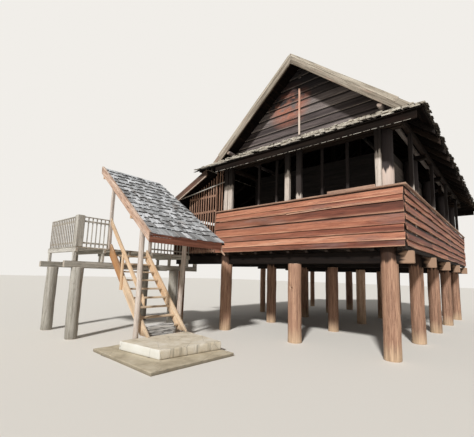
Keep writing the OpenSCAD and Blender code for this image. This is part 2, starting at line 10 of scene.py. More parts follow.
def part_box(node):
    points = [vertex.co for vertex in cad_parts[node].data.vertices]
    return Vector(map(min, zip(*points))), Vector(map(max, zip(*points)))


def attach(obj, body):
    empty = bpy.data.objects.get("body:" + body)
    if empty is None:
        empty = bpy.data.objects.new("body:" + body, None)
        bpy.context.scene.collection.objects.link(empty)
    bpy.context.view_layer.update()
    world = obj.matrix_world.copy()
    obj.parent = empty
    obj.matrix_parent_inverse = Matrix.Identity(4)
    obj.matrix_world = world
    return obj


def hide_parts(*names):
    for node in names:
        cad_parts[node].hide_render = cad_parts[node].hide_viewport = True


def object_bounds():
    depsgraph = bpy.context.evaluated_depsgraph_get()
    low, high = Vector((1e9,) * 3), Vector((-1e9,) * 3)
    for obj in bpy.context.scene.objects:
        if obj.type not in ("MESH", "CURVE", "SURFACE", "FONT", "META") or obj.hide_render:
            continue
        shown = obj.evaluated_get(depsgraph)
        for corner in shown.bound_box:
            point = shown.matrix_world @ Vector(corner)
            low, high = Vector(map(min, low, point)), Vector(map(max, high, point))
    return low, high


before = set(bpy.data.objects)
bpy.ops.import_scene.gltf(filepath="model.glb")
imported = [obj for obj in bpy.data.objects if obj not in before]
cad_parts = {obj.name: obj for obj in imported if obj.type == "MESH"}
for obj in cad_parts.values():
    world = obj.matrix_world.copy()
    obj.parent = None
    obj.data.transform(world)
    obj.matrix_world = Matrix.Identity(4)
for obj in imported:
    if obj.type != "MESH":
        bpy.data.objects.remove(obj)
cadBox = [list(corner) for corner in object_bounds()]
random.seed(417)
noise.seed_set(417)      # otherwise the noise starts from the clock
scratch = bpy.data.meshes.new("scratch")
xWay, yWay, up = Vector((1, 0, 0)), Vector((0, 1, 0)), Vector((0, 0, 1))

# main sizes in metres, the same as in the part's source
house = {
    "left": -4.52, "right": 0.40, "front": -0.28, "back": 9.08, "passageLeft": -6.45,
    "length": 8.8, "middle": -2.06, "halfSpan": 2.97,
    "eave": 4.45, "mainTan": 0.87, "skirtTan": 0.60,
    "frontEave": -0.79, "verge": -0.27, "gable": 0.17,
}


def linear(hexColour):
    parts = [int(hexColour[i:i + 2], 16) / 255 for i in (1, 3, 5)]
    return tuple(c / 12.92 if c <= 0.04045 else ((c + 0.055) / 1.055) ** 2.4 for c in parts) + (1.0,)


def emptyMaterial(name):
    material = bpy.data.materials.new(name)
    material.use_nodes = True
    material.node_tree.nodes.clear()
    return material


# one shader node with its settings, its links and, on a ramp, its stops
def addNode(tree, kind, settings=None, links=None, stops=()):
    node = tree.nodes.new("ShaderNode" + kind)
    for key, value in (settings or {}).items():
        if isinstance(key, int) or key in node.inputs:
            node.inputs[key].default_value = value
        else:
            setattr(node, key, value)
    for key, (source, output) in (links or {}).items():
        tree.links.new(source.outputs[output], node.inputs[key])
    if stops:
        elements = node.color_ramp.elements
        while len(elements) < len(stops):
            elements.new(0.5)
        for element, (position, colour) in zip(elements, stops):
            element.position = position
            element.color = linear(colour)
    return node


# Weathered timber. The grain runs along the "grain" attribute, which every board
# has in its own directions, in metres; "board" holds a tone for each board and
# the place across it, "wear" marks worn edges and "cut" the sawn ends. The five
# "colours" are those of patches, fine lines, cracks, worn edges and sawn ends;
# on the silver shingles the last two are dark, painted shade at the butts.
def timber(name, finish):
    material = emptyMaterial(name)
    add = partial(addNode, material.node_tree)
    grain, board, wear, cut = [
        add("Attribute", {"attribute_name": key}) for key in ("grain", "board", "wear", "cut")]
    place = add("TexCoord")
    inPlace, alongGrain = {"Vector": (place, "Object")}, {"Vector": (grain, "Vector")}
    split = add("SeparateXYZ", links={"Vector": (board, "Vector")})
    reach = add("SeparateXYZ", links=inPlace)

    # noise drawn out along the grain: fine lines, broad streaks, cracks and, on boards, patches
    lines, spread = 1000 / finish["grainMm"], finish.get("patchScale", 1.7)
    drawn = [((lines / 34, lines, lines), {"Detail": 3.0, "Roughness": 0.62}),
             ((0.9, 17, 17), {"Detail": 4.0, "Roughness": 0.6, "Distortion": 0.3}),
             ((1.6, 46, 46), {"Detail": 2.0})]
    if finish.get("boardPatch"):
        drawn.append(((spread * 0.5, spread * 2.4, spread * 2.4), {"Detail": 5.0, "Roughness": 0.65}))
    noises = []
    for scale, settings in drawn:
        stretch = add("Mapping", {"Scale": scale}, alongGrain)
        noises.append(add("TexNoise", dict(settings, Scale=1.0), {"Vector": (stretch, "Vector")}))
    if not finish.get("boardPatch"):
        noises.append(add("TexNoise", {"Scale": spread, "Detail": 4.0, "Roughness": 0.65}, inPlace))
    fine, broad, crackNoise, patch = noises

    # board tone and broad streaks together choose the colour
    toneShare, streakShare = finish.get("toneShare", 0.55), 0.9
    tone = add("Math", {"operation": "MULTIPLY_ADD", 1: toneShare, 2: 0.5 - toneShare / 2 - streakShare / 2},
               {0: (split, "X")})
    streak = add("Math", {"operation": "MULTIPLY_ADD", 1: streakShare}, {0: (broad, "Fac"), 2: (tone, 0)})
    colour = add("ValToRGB", links={"Fac": (streak, 0)}, stops=finish["stops"])

    # patches of another tone, which may keep to one place
    patches = add("MapRange", {"From Min": finish.get("patchFrom", 0.52), "From Max": finish.get("patchTo", 0.72),
                               "To Max": finish.get("patch", 0.5)}, {"Value": (patch, "Fac")})
    if "patchCentre" in finish:
        centre, radius = finish["patchCentre"]
        away = add("VectorMath", {"operation": "DISTANCE", 1: centre}, {0: (place, "Object")})
        near = add("MapRange", {"From Min": radius, "From Max": radius * 0.4}, {"Value": (away, "Value")})
        patches = add("Math", {"operation": "MULTIPLY"}, {0: (patches, 0), 1: (near, 0)})
    fineLines = add("MapRange", {"From Min": 0.52, "From Max": 0.3, "To Max": finish.get("lineDepth", 0.55)},
                    {"Value": (fine, "Fac")})

    # thin dark cracks follow the level lines of a long drawn noise
    away = add("Math", {"operation": "SUBTRACT", 1: 0.5}, {0: (crackNoise, "Fac")})
    near = add("Math", {"operation": "ABSOLUTE"}, {0: (away, 0)})
    crack = add("MapRange", {"From Min": 0.0, "From Max": finish.get("crackWidth", 0.014),
                             "To Min": finish.get("crack", 0.6), "To Max": 0.0}, {"Value": (near, 0)})

    # edges rub pale, more in some places than in others
    rub = add("MapRange", {"From Min": 0.36, "From Max": 0.6, "To Max": finish.get("wear", 0.7)},
              {"Value": (broad, "Fac")})
    rubbed = add("Math", {"operation": "MULTIPLY"}, {0: (rub, 0), 1: (wear, "Fac")})
    sawn = add("Math", {"operation": "MULTIPLY", 1: finish.get("cut", 0.7)}, {0: (cut, "Fac")})
    wander = add("Math", {"operation": "MULTIPLY_ADD", 1: -0.4, 2: 0.2}, {0: (broad, "Fac")})

    # what lies over the colour, from the first to the last
    amounts, blends = (patches, fineLines, crack, rubbed, sawn), ("MIX", "MULTIPLY", "MIX", "MIX", "MIX")
    layers = list(zip(amounts, finish["colours"], blends))
    for axis, start, stop, tint, most in finish.get("fades", []):       # a tint from start to stop: dust and bleaching, and painted shade at the gable's top
        edge = add("Math", {"operation": "ADD"}, {0: (wander, 0), 1: (reach, axis)})
        fade = add("MapRange", {"From Min": start, "From Max": stop, "To Max": most}, {"Value": (edge, 0)})
        layers.append((fade, tint, "MIX"))
    if "low" in finish:         # dust and pale wear on the lower edge of a lapped board
        tint, start, most = finish["low"]
        low = add("MapRange", {"From Min": start, "From Max": 0.02, "To Max": most}, {"Value": (split, "Y")})
        layers.append((add("Math", {"operation": "MULTIPLY"}, {0: (low, 0), 1: (rub, 0)}), tint, "MIX"))
    if "lap" in finish:         # painted shadow: the strip under the board above is darkened
        tint, start, stop = finish["lap"]
        lap = add("MapRange", {"From Min": start, "From Max": stop, "To Max": 0.9}, {"Value": (split, "Y")})
        layers.append((lap, tint, "MIX"))
    if "moss" in finish:        # lichen and moss in small cushions
        tint, most = finish["moss"]
        mossNoise = add("TexNoise", {"Scale": 21.0, "Detail": 5.0, "Roughness": 0.7}, inPlace)
        moss = add("MapRange", {"From Min": 0.54, "From Max": 0.66, "To Max": most}, {"Value": (mossNoise, "Fac")})
        layers.append((moss, tint, "MIX"))
    shade = (colour, "Color")
    for amount, tint, blend in layers:
        mixed = add("Mix", {"data_type": "RGBA", "blend_type": blend, 7: linear(tint)}, {0: (amount, 0), 6: shade})
        shade = (mixed, 2)
    if "heights" in finish:     # painted shade by height above the ground, over 5 m: the ramp darkens the colour where shade falls
        edge = add("Math", {"operation": "ADD"}, {0: (wander, 0), 1: (reach, "Z")})
        level = add("Math", {"operation": "MULTIPLY", 1: 0.2}, {0: (edge, 0)})
        paintedShadeRamp = add("ValToRGB", links={"Fac": (level, 0)}, stops=finish["heights"])
        mixed = add("Mix", {"data_type": "RGBA", "blend_type": "MULTIPLY", 0: 1.0}, {6: shade, 7: (paintedShadeRamp, "Color")})
        shade = (mixed, 2)

    smooth, dry = finish["rough"]
    rough = add("MapRange", {"From Min": 0.3, "From Max": 0.7, "To Min": smooth, "To Max": dry},
                {"Value": (fine, "Fac")})
    height = add("Math", {"operation": "MULTIPLY_ADD", 1: 0.6}, {0: (fine, "Fac"), 2: (broad, "Fac")})
    carved = add("Math", {"operation": "MULTIPLY_ADD", 1: -1.1}, {0: (crack, 0), 2: (height, 0)})
    bump = add("Bump", {"Strength": finish.get("bump", 0.55), "Distance": 0.006}, {"Height": (carved, 0)})
    shader = add("BsdfPrincipled", {"IOR": 1.5, "Specular IOR Level": finish.get("specular", 0.3)},
                 {"Base Color": shade, "Roughness": (rough, 0), "Normal": (bump, "Normal")})
    add("OutputMaterial", links={"Surface": (shader, 0)})
    return material


# dense round posts, oiled long ago, cracked along their length, dusty at the foot; painted shade darkens them from
# 1.8 m up under the floor and above 3.7 m under the eave
postTimber = timber("hewnHardwoodPost", {
    "grainMm": 9, "stops": [(0.12, "#765b49"), (0.38, "#a58069"), (0.62, "#c69f83"), (0.88, "#e5c8ab")],
    "colours": ("#94715d", "#8f7464", "#37251d", "#d0b49b", "#b89a80"), "boardPatch": True, "patchScale": 1.1,
    "lineDepth": 0.8, "rough": (0.62, 0.86), "toneShare": 0.5,
    "fades": [("Z", 0.35, 0.0, "#d6bd9c", 0.6), ("Z", 3.1, 3.2, "#d3c2b6", 0.8)],
    "heights": [(0.0, "#ffffff"), (0.358, "#ffffff"), (0.368, "#5f5650"), (0.43, "#544c47"), (0.6, "#ffffff"),
                (0.726, "#ffffff"), (0.736, "#48464a"), (1.0, "#3d3c42")],
})
# beams, joists, rafters and floor boards coloured near black: painted shade, with some smoke
darkTimber = timber("shadedSawnTimber", {
    "grainMm": 8, "stops": [(0.15, "#0f0b09"), (0.45, "#1f1713"), (0.7, "#31261f"), (0.92, "#4d3f33")],
    "colours": ("#2b241f", "#7b6d60", "#080504", "#41362d", "#211a15"), "patch": 0.4, "rough": (0.66, 0.9),
    "specular": 0.15,
})
# floor beams coloured near black, painted shade under the floor; their ends, bleached by the sun, are tan
beamTimber = timber("floorBeamTimber", {
    "grainMm": 8, "stops": [(0.15, "#0f0b09"), (0.45, "#1f1713"), (0.7, "#32261f"), (0.92, "#4f3f34")],
    "colours": ("#2b241f", "#7b6a5c", "#0c0806", "#54463a", "#b3957c"), "patch": 0.4, "specular": 0.15, "cut": 0.9,
    "rough": (0.66, 0.9), "fades": [("X", 0.2, 0.28, "#b5947b", 0.75)],
})
# lapped boards with a red brown oil finish, faded unevenly by the sun, with a painted shadow under each lap
oiledBoard = {
    "grainMm": 12,
    "stops": [(0.08, "#543024"), (0.3, "#7e4938"), (0.52, "#a1664e"), (0.72, "#bd8367"), (0.95, "#d8ad92")],
    "colours": ("#7f6660", "#8e665a", "#43241b", "#e0b699", "#6f5040"), "patch": 0.7, "boardPatch": True,
    "patchScale": 1.05, "patchFrom": 0.54, "patchTo": 0.68, "lineDepth": 0.8, "cut": 0.8, "wear": 0.8,
    "lap": ("#190d09", 0.73, 0.8), "low": ("#e0b394", 0.18, 0.6), "rough": (0.5, 0.74), "toneShare": 0.75,
    "fades": [("X", -1.2, -3.6, "#c98f70", 0.2)],
}
parapetTimber = timber("oiledLapBoard", oiledBoard)
# the side boards gape wider, with a wider, darker painted shadow under each
sideParapetTimber = timber("oiledSideLapBoard", dict(oiledBoard, lap=("#0e0806", 0.63, 0.71)))
# cap boards and the loose plank on them, bleached to a reddish tan
capTimber = timber("bleachedCapBoard", {
    "grainMm": 10, "stops": [(0.1, "#806455"), (0.4, "#ab8974"), (0.66, "#c9a891"), (0.92, "#e2c9b3")],
    "colours": ("#8d7467", "#a58c7c", "#46342b", "#dfc7ae", "#c6a78d"), "boardPatch": True, "patchScale": 1.6,
    "rough": (0.66, 0.88),
})
# gable boards and purlins, grey brown with red oil left in places; a painted shadow under each lap, and painted
# shade over the top, above 6.15 m
greyTimber = timber("weatheredGableBoard", {
    "grainMm": 10, "stops": [(0.1, "#383130"), (0.36, "#5c5250"), (0.62, "#7f7571"), (0.9, "#b5aaa3")],
    "colours": ("#b06f58", "#857870", "#2b2420", "#b9ac9e", "#a08c7c"), "patch": 0.85, "patchScale": 1.6,
    "patchFrom": 0.4, "patchTo": 0.5, "lineDepth": 0.85, "low": ("#b1a59c", 0.14, 0.4), "rough": (0.7, 0.92),
    "lap": ("#120d0b", 0.68, 0.75), "toneShare": 0.9, "patchCentre": ((-2.4, 0.17, 6.0), 0.7),
    "fades": [("Z", 6.15, 6.35, "#1c1a1d", 0.85)],
})
# bargeboards bleached to a beige grey, rosy where the last of the oil shows
bargeTimber = timber("bleachedBargeboard", {
    "grainMm": 34, "stops": [(0.12, "#4f473e"), (0.32, "#857a6c"), (0.55, "#b8ae9d"), (0.84, "#e4ddcf")],
    "colours": ("#a8897a", "#877b6d", "#3b332b", "#e2dacc", "#a89a86"), "patch": 0.65, "boardPatch": True,
    "patchScale": 2.6, "lineDepth": 0.8, "crack": 0.8, "wear": 0.9, "rough": (0.72, 0.92),
})
# the lean-to's bargeboard, brown, with a paler strip nailed on
leanBargeTimber = timber("brownLeanBargeboard", {
    "grainMm": 10, "stops": [(0.1, "#4b3a31"), (0.4, "#6e574a"), (0.66, "#8f7768"), (0.92, "#c4b3a2")],
    "colours": ("#7c4f3e", "#7f6c60", "#241b16", "#b5a08f", "#6f5c4e"), "patch": 0.6, "boardPatch": True,
    "patchScale": 2.0, "rough": (0.7, 0.92), "toneShare": 1.0,
})
# gallery posts, dry and pale, with painted shade above 4 m under the eave
galleryPost = {
    "grainMm": 9, "stops": [(0.1, "#94857a"), (0.4, "#bcaea2"), (0.66, "#d5c9bd"), (0.92, "#e8dfd4")],
    "colours": ("#94836f", "#a3968b", "#4b4038", "#e6dccf", "#c0b1a2"), "patch": 0.4, "boardPatch": True,
    "rough": (0.68, 0.9), "heights": [(0.0, "#ffffff"), (0.79, "#ffffff"), (0.8, "#403c3b"), (1.0, "#343235")],
}
paleTimber = timber("drySquaredPost", galleryPost)
# the posts with painted shade down to the parapet, above 3.4 m
paintedShadePostTimber = timber("paintedShadeSquaredPost", dict(galleryPost, heights=[
    (0.0, "#ffffff"), (0.67, "#ffffff"), (0.68, "#454040"), (1.0, "#373437")]))
# rose coloured strip boards in the gable
roseTimber = timber("fadedRoseStrip", {
    "grainMm": 9, "stops": [(0.1, "#a57360"), (0.45, "#c4927c"), (0.9, "#ddb9a2")],
    "colours": ("#a98a79", "#a88674", "#5b4035", "#e0c6b0", "#c2a48d"), "boardPatch": True, "rough": (0.66, 0.88),
    "fades": [("Z", 5.75, 5.45, "#d3c5b6", 0.9)],
})
# sawn stair timber, treads and handrail, warm tan
tanTimber = timber("sawnTanTimber", {
    "grainMm": 9, "stops": [(0.1, "#a97b52"), (0.36, "#c59868"), (0.62, "#cfaf8c"), (0.9, "#ddc8ac")],
    "colours": ("#9a8570", "#a58162", "#523826", "#e0cbae", "#b99a79"), "patch": 0.6, "boardPatch": True,
    "patchScale": 1.6, "rough": (0.62, 0.86), "toneShare": 0.85,
})
# verge boards and screen battens, faded to a pinkish tan
vergeTimber = timber("fadedVergeBoard", {
    "grainMm": 9, "stops": [(0.1, "#765646"), (0.38, "#a6836d"), (0.64, "#c6a68f"), (0.92, "#e4d0bf")],
    "colours": ("#8b624e", "#9a7b6b", "#4b3226", "#e3d0bc", "#c2a68f"), "patch": 0.7, "boardPatch": True,
    "patchScale": 3.4, "lineDepth": 0.85, "crack": 0.8, "crackWidth": 0.03, "rough": (0.64, 0.88),
})
# landing timber and old laths, silver grey
deckTimber = timber("wornGreyTimber", {
    "grainMm": 10, "stops": [(0.1, "#716c63"), (0.38, "#9d988d"), (0.64, "#bfbab0"), (0.92, "#dfdbd1")],
    "colours": ("#8a7f72", "#8d8276", "#3f3730", "#dad1c2", "#a89a89"), "boardPatch": True, "patchScale": 1.8,
    "crack": 0.8, "rough": (0.68, 0.9),
})
# poles of the stair, pale and warm
slatTimber = timber("warmPaleSlat", {
    "grainMm": 9, "stops": [(0.1, "#86796f"), (0.4, "#ab9d92"), (0.66, "#c8bbaf"), (0.92, "#e0d6cb")],
    "colours": ("#94796a", "#9c8777", "#4a3b31", "#e0d3c2", "#b3a08d"), "boardPatch": True, "patchScale": 2.0,
    "rough": (0.68, 0.9),
})
# the block at the foot of the stair, bleached nearly white
bleachedTimber = timber("bleachedFootTimber", {
    "grainMm": 14, "stops": [(0.1, "#3b3632"), (0.34, "#8f8a85"), (0.52, "#dedbd6"), (0.8, "#fbfaf7")],
    "colours": ("#8b8379", "#655e57", "#1d1917", "#fbfaf7", "#c9c4bb"), "lineDepth": 0.95, "crack": 1.0,
    "crackWidth": 0.045, "rough": (0.74, 0.92), "bump": 0.9,
})
# fascia with the same oil as the parapet, older
fasciaTimber = timber("oiledFascia", {
    "grainMm": 10, "stops": [(0.12, "#4a2a20"), (0.4, "#6c4031"), (0.66, "#895946"), (0.92, "#aa7d67")],
    "colours": ("#6a5348", "#8a6454", "#2a1510", "#b98f77", "#9a7a66"), "boardPatch": True, "rough": (0.58, 0.82),
})
# split wood shingles, grey with age, lichen on them
mossyShingle = timber("mossySplitShingle", {
    "grainMm": 8, "stops": [(0.1, "#36312b"), (0.34, "#6a6157"), (0.6, "#9d9386"), (0.9, "#dbd2c4")],
    "colours": ("#5a5146", "#7b756b", "#1c1916", "#ece5d6", "#6b6458"), "patch": 0.45, "patchScale": 1.4,
    "wear": 1.0, "cut": 0.15, "rough": (0.8, 0.96), "toneShare": 1.1, "moss": ("#dfd7c6", 0.6), "bump": 0.8,
    "specular": 0.2,
})
# split wood shingles bleached silver by the sun; their butts and ends are coloured dark, painted shade under each
# course
silverShingle = timber("silverSplitShingle", {
    "grainMm": 8, "stops": [(0.06, "#797877"), (0.3, "#a2a3a3"), (0.58, "#c4c6c7"), (0.9, "#e9eaeb")],
    "colours": ("#a08a78", "#8d8780", "#45403b", "#2c2926", "#35312d"), "patch": 0.4, "patchScale": 2.8,
    "patchFrom": 0.56, "wear": 1.0, "cut": 1.0, "rough": (0.76, 0.94), "toneShare": 0.8, "bump": 0.9,
    "specular": 0.2,
})
# undersides of the roof coverings and the eave boards, coloured near black: painted shade
liningTimber = timber("paintedShadeUnderside", {
    "grainMm": 12, "stops": [(0.2, "#0b0907"), (0.5, "#16110e"), (0.8, "#271f1a")],
    "colours": ("#2a1a16", "#6b5a4c", "#070504", "#2c241e", "#2c241e"), "rough": (0.85, 0.97), "specular": 0.08,
})
print("materials made")


# hand trowelled concrete: fine grit, stains, worn pale edges, hairline cracks
def concrete(name, finish):
    material = emptyMaterial(name)
    add = partial(addNode, material.node_tree)
    place = add("TexCoord")
    facing = add("NewGeometry")
    inPlace = {"Vector": (place, "Object")}
    spread = add("SeparateXYZ", links=inPlace)
    level = add("SeparateXYZ", links={"Vector": (facing, "True Normal")})
    stain = add("TexNoise", {"Scale": 3.1, "Detail": 6.0, "Roughness": 0.65}, inPlace)
    grit = add("TexNoise", {"Scale": 240.0, "Detail": 2.0}, inPlace)      # 4 mm grit
    pits = add("TexVoronoi", {"Scale": 55.0}, inPlace)        # 18 mm apart
    colour = add("ValToRGB", links={"Fac": (stain, "Fac")}, stops=finish["stops"])
    speck = add("MapRange", {"From Min": 0.35, "From Max": 0.65, "To Max": 0.35}, {"Value": (grit, "Fac")})
    foot = add("MapRange", {"From Min": finish["damp"], "From Max": 0.0, "To Max": 0.6}, {"Value": (spread, "Z")})
    damp = add("Math", {"operation": "MULTIPLY"}, {0: (foot, 0), 1: (stain, "Fac")})
    rim = add("MapRange", {"From Min": 0.6, "From Max": 0.2, "To Max": finish["rim"]}, {"Value": (level, "Z")})
    lime = add("MapRange", {"From Min": -0.2, "From Max": -0.7, "To Max": finish["lime"]}, {"Value": (level, "Y")})
    # rain has drawn dark streaks down the sides
    dripMap = add("Mapping", {"Scale": (13, 13, 1.3)}, inPlace)
    drip = add("TexNoise", {"Scale": 1.0, "Detail": 4.0, "Roughness": 0.6}, {"Vector": (dripMap, "Vector")})
    wet = add("MapRange", {"From Min": 0.5, "From Max": 0.66, "To Max": 0.6}, {"Value": (drip, "Fac")})
    upright = add("MapRange", {"From Min": 0.1, "From Max": 0.5}, {"Value": (level, "X")})
    streak = add("Math", {"operation": "MULTIPLY"}, {0: (wet, 0), 1: (upright, 0)})
    crackField = add("TexVoronoi", {"feature": "DISTANCE_TO_EDGE", "Scale": 1.9}, inPlace)
    crack = add("MapRange", {"From Min": 0.0, "From Max": 0.008, "To Min": 0.6, "To Max": 0.0},
                {"Value": (crackField, "Distance")})
    shade = (colour, "Color")
    for amount, tint, blend in (
            (speck, "#b3aa9c", "MULTIPLY"), (damp, "#7d7263", "MIX"), (rim, "#625a4c", "MIX"),
            (lime, "#d6d7d1", "MIX"), (streak, "#7e7768", "MIX"), (crack, "#5c5348", "MIX")):
        mixed = add("Mix", {"data_type": "RGBA", "blend_type": blend, 7: linear(tint)}, {0: (amount, 0), 6: shade})
        shade = (mixed, 2)
    pit = add("MapRange", {"From Min": 0.05, "From Max": 0.35}, {"Value": (pits, "Distance")})
    height = add("Math", {"operation": "MULTIPLY_ADD", 1: 0.5}, {0: (grit, "Fac"), 2: (pit, 0)})
    bump = add("Bump", {"Strength": 0.5, "Distance": 0.004}, {"Height": (height, 0)})
    rough = add("MapRange", {"From Min": 0.3, "From Max": 0.7, "To Min": 0.78, "To Max": 0.94},
                {"Value": (stain, "Fac")})
    shader = add("BsdfPrincipled", {"IOR": 1.5, "Specular IOR Level": 0.3},
                 {"Base Color": shade, "Roughness": (rough, 0), "Normal": (bump, "Normal")})
    add("OutputMaterial", links={"Surface": (shader, 0)})
    return material


upperConcrete = concrete("trowelledConcrete", {
    "damp": 0.2, "rim": 0.0, "lime": 0.7, "stops": [(0.28, "#c0b39b"), (0.48, "#e3d8c2"), (0.72, "#f5efe2")]})
lowerConcrete = concrete("wornConcreteApron", {
    "damp": 0.09, "rim": 0.6, "lime": 0.0, "stops": [(0.28, "#a69a83"), (0.48, "#cdc0a6"), (0.72, "#e6dbc3")]})


# a bmesh with the attributes that the timber reads
def startPiece():
    piece = bmesh.new()
    for key in ("grain", "board"):
        piece.verts.layers.float_vector.new(key)
    for key in ("wear", "cut"):
        piece.loops.layers.float.new(key)
    return piece


# writes the attributes of one member: along is its length, wide its width
def markGrain(one, along, wide, size, wornFaces, tone, sawnEnds=True):
    grain, board = [one.verts.layers.float_vector[key] for key in ("grain", "board")]
    wear, cut = [one.loops.layers.float[key] for key in ("wear", "cut")]
    deep = along.cross(wide)
    middle = sum((v.co for v in one.verts), Vector()) / len(one.verts)
    shift = Vector([random.uniform(0, 60) for k in range(3)])
    for v in one.verts:
        local = v.co - middle
        x, y, z = local.dot(along), local.dot(wide), local.dot(deep)
        v[grain] = Vector((x, y, z)) + shift
        v[board] = Vector((tone, y / size[1] + 0.5, x / size[0] + 0.5))
    for face in one.faces:
        isEnd = sawnEnds and abs(face.normal.dot(along)) > 0.8
        isWorn = face in wornFaces
        for loop in face.loops:
            loop[cut], loop[wear] = float(isEnd), float(isWorn)


def roundEdges(one, width):
    sharp = [e for e in one.edges if len(e.link_faces) == 2 and e.calc_face_angle(0) > 0.5]
    if not sharp or not width:
        return set()
    made = bmesh.ops.bevel(one, geom=sharp, offset=width, offset_type="OFFSET", segments=1,
                           profile=0.5, affect="EDGES", material=-1, clamp_overlap=True)
    one.faces.ensure_lookup_table()
    one.normal_update()
    return set(made["faces"])


def addTo(piece, one):
    one.to_mesh(scratch)
    one.free()
    piece.from_mesh(scratch)


def everything(piece):
    return piece.verts[:] + piece.edges[:] + piece.faces[:]


# one board or squared timber between two end points; wide is the way its width goes
def plank(piece, start, end, width, thick, wide=up, cuts=0, warp=0.0, edge=0.003, tone=None, taper=1.0):
    start, end, wide = Vector(start), Vector(end), Vector(wide)
    length = (end - start).length
    along = (end - start).normalized()
    side = (wide - along * along.dot(wide)).normalized()
    one = startPiece()
    bmesh.ops.create_cube(one, size=1, matrix=Matrix.Diagonal((length, width, thick, 1)))
    if cuts:
        longEdges = [e for e in one.edges if abs(e.verts[0].co.x - e.verts[1].co.x) > length / 2]
        bmesh.ops.subdivide_edges(one, edges=longEdges, cuts=cuts, use_grid_fill=True)
    worn = roundEdges(one, edge)
    seed = Vector((random.uniform(0, 90), random.uniform(0, 90), 0))
    for v in one.verts:         # slow bends along the board, quick ones for its uneven faces
        if taper != 1.0:
            v.co.y *= 1 + (taper - 1) * (v.co.x / length + 0.5)
        if warp:
            slow = noise.noise_vector(seed + Vector((v.co.x * 0.9, 0, 0)))
            quick = noise.noise_vector(seed + Vector((v.co.x * 5, v.co.y * 3, v.co.z * 3)))
            v.co.y += warp * (slow.y + 0.3 * quick.y)
            v.co.z += warp * (0.6 * slow.z + 0.2 * quick.z)
    tone = random.random() if tone is None else tone
    markGrain(one, xWay, yWay, (length, width), worn, tone)
    turn = Matrix((along, side, along.cross(side))).transposed().to_4x4()
    one.transform(Matrix.Translation((start + end) / 2) @ turn)
    addTo(piece, one)


# the solids of a CAD node, each as a small mesh of its own with its flats joined
def solidsOf(node):
    whole = startPiece()
    whole.from_mesh(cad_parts[node].data)
    bmesh.ops.remove_doubles(whole, verts=whole.verts, dist=2e-5)
    bmesh.ops.dissolve_limit(whole, angle_limit=0.01, verts=whole.verts, edges=whole.edges)
    whole.verts.index_update()
    seen, found = set(), []
    for first in whole.verts:
        if first in seen:
            continue
        group, queue = set(), [first]
        while queue:
            v = queue.pop()
            if v not in group:
                group.add(v)
                queue.extend(e.other_vert(v) for e in v.link_edges)
        seen |= group
        keep = {v.index for v in group}
        one = whole.copy()
        bmesh.ops.delete(one, geom=[v for v in one.verts if v.index not in keep], context="VERTS")
        one.normal_update()
        found.append(one)
    whole.free()
    return found


def boxOf(one):
    return [Vector([pick(v.co[k] for v in one.verts) for k in range(3)]) for pick in (min, max)]


# a CAD solid dressed as hewn timber: rounded edges, rings along its length, slight bends and tool marks
def hewn(piece, one, edge=0.006, ring=0.3, bend=0.004, marks=0.002, tone=None, along=None):
    longest = max(one.edges, key=lambda e: e.calc_length())
    along = along or (longest.verts[1].co - longest.verts[0].co).normalized()
    low, high = boxOf(one)
    helper = up if abs(along.z) < 0.75 else xWay if high.x - low.x >= high.y - low.y else yWay
    wide = (helper - along * along.dot(helper)).normalized()
    deep = along.cross(wide)
    worn = roundEdges(one, edge)
    reach = [v.co.dot(along) for v in one.verts]
    sides = [v.co.dot(wide) for v in one.verts]
    bottom, length = min(reach), max(reach) - min(reach)
    rings = int(length / ring)
    for k in range(1, rings):
        at = along * (bottom + k * length / rings)
        bmesh.ops.bisect_plane(one, geom=everything(one), plane_co=at, plane_no=along)
    one.normal_update()
    seed = Vector([random.uniform(0, 90) for k in range(3)])
    tone = random.random() if tone is None else tone
    markGrain(one, along, wide, (length, max(sides) - min(sides)), worn, tone)
    for v in one.verts:
        x = v.co.dot(along)
        slow = noise.noise_vector(seed + Vector((x * 0.8, 0, 0)))
        quick = noise.noise_vector(seed + Vector((x * 3.1, v.co.dot(wide) * 14, v.co.dot(deep) * 14)))
        v.co += wide * (bend * slow.y + marks * quick.y) + deep * (bend * slow.z + marks * quick.z)
    addTo(piece, one)


def placed(name, data):
    obj = bpy.data.objects.new(name, data)
    bpy.context.scene.collection.objects.link(obj)
    return obj


# ends a piece: keeps it inside the CAD box, gives it its material and body, and hides the CAD nodes it stands for
def finishPiece(piece, name, material, slotName, *nodes):
    inset = 0.0004
    for v in piece.verts:
        v.co = Vector([min(max(v.co[k], cadBox[0][k] + inset), cadBox[1][k] - inset) for k in range(3)])
    mesh = bpy.data.meshes.new(name)
    piece.to_mesh(mesh)
    piece.free()
    mesh.shade_smooth()
    mesh.set_sharp_from_angle(angle=math.radians(34))
    mesh.materials.append(material)
    obj = placed(name, mesh)
    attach(obj, "root")
    if nodes:
        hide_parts(*nodes)


def hewnPiece(name, material, slotName, node, **settings):
    piece = startPiece()
    for one in solidsOf(node):
        hewn(piece, one, **settings)
    finishPiece(piece, name, material, slotName, node)


# frame of the house
roundPost = {"edge": 0.012, "ring": 0.2, "bend": 0.008, "marks": 0.009}
frontPost = dict(roundPost, ring=0.16, bend=0.007, tone=0.35)
passagePost = {"edge": 0.008, "ring": 0.25, "bend": 0.006, "marks": 0.006}
hewnPiece("hewnFrontPosts", postTimber, "post_wood", "front_posts", **frontPost)
hewnPiece("hewnSidePosts", postTimber, "post_wood", "side_posts", tone=0.1, **roundPost)
hewnPiece("hewnMiddlePosts", postTimber, "post_wood", "middle_posts", **roundPost)
hewnPiece("hewnPassagePosts", postTimber, "post_wood", "passage_posts", **passagePost)
hewnPiece("hewnCrossBeams", beamTimber, "beam_wood", "cross_beams", edge=0.01, marks=0.004, tone=0.15)
hewnPiece("sawnJoists", darkTimber, "beam_wood", "floor_joists", edge=0.004, ring=0.6)

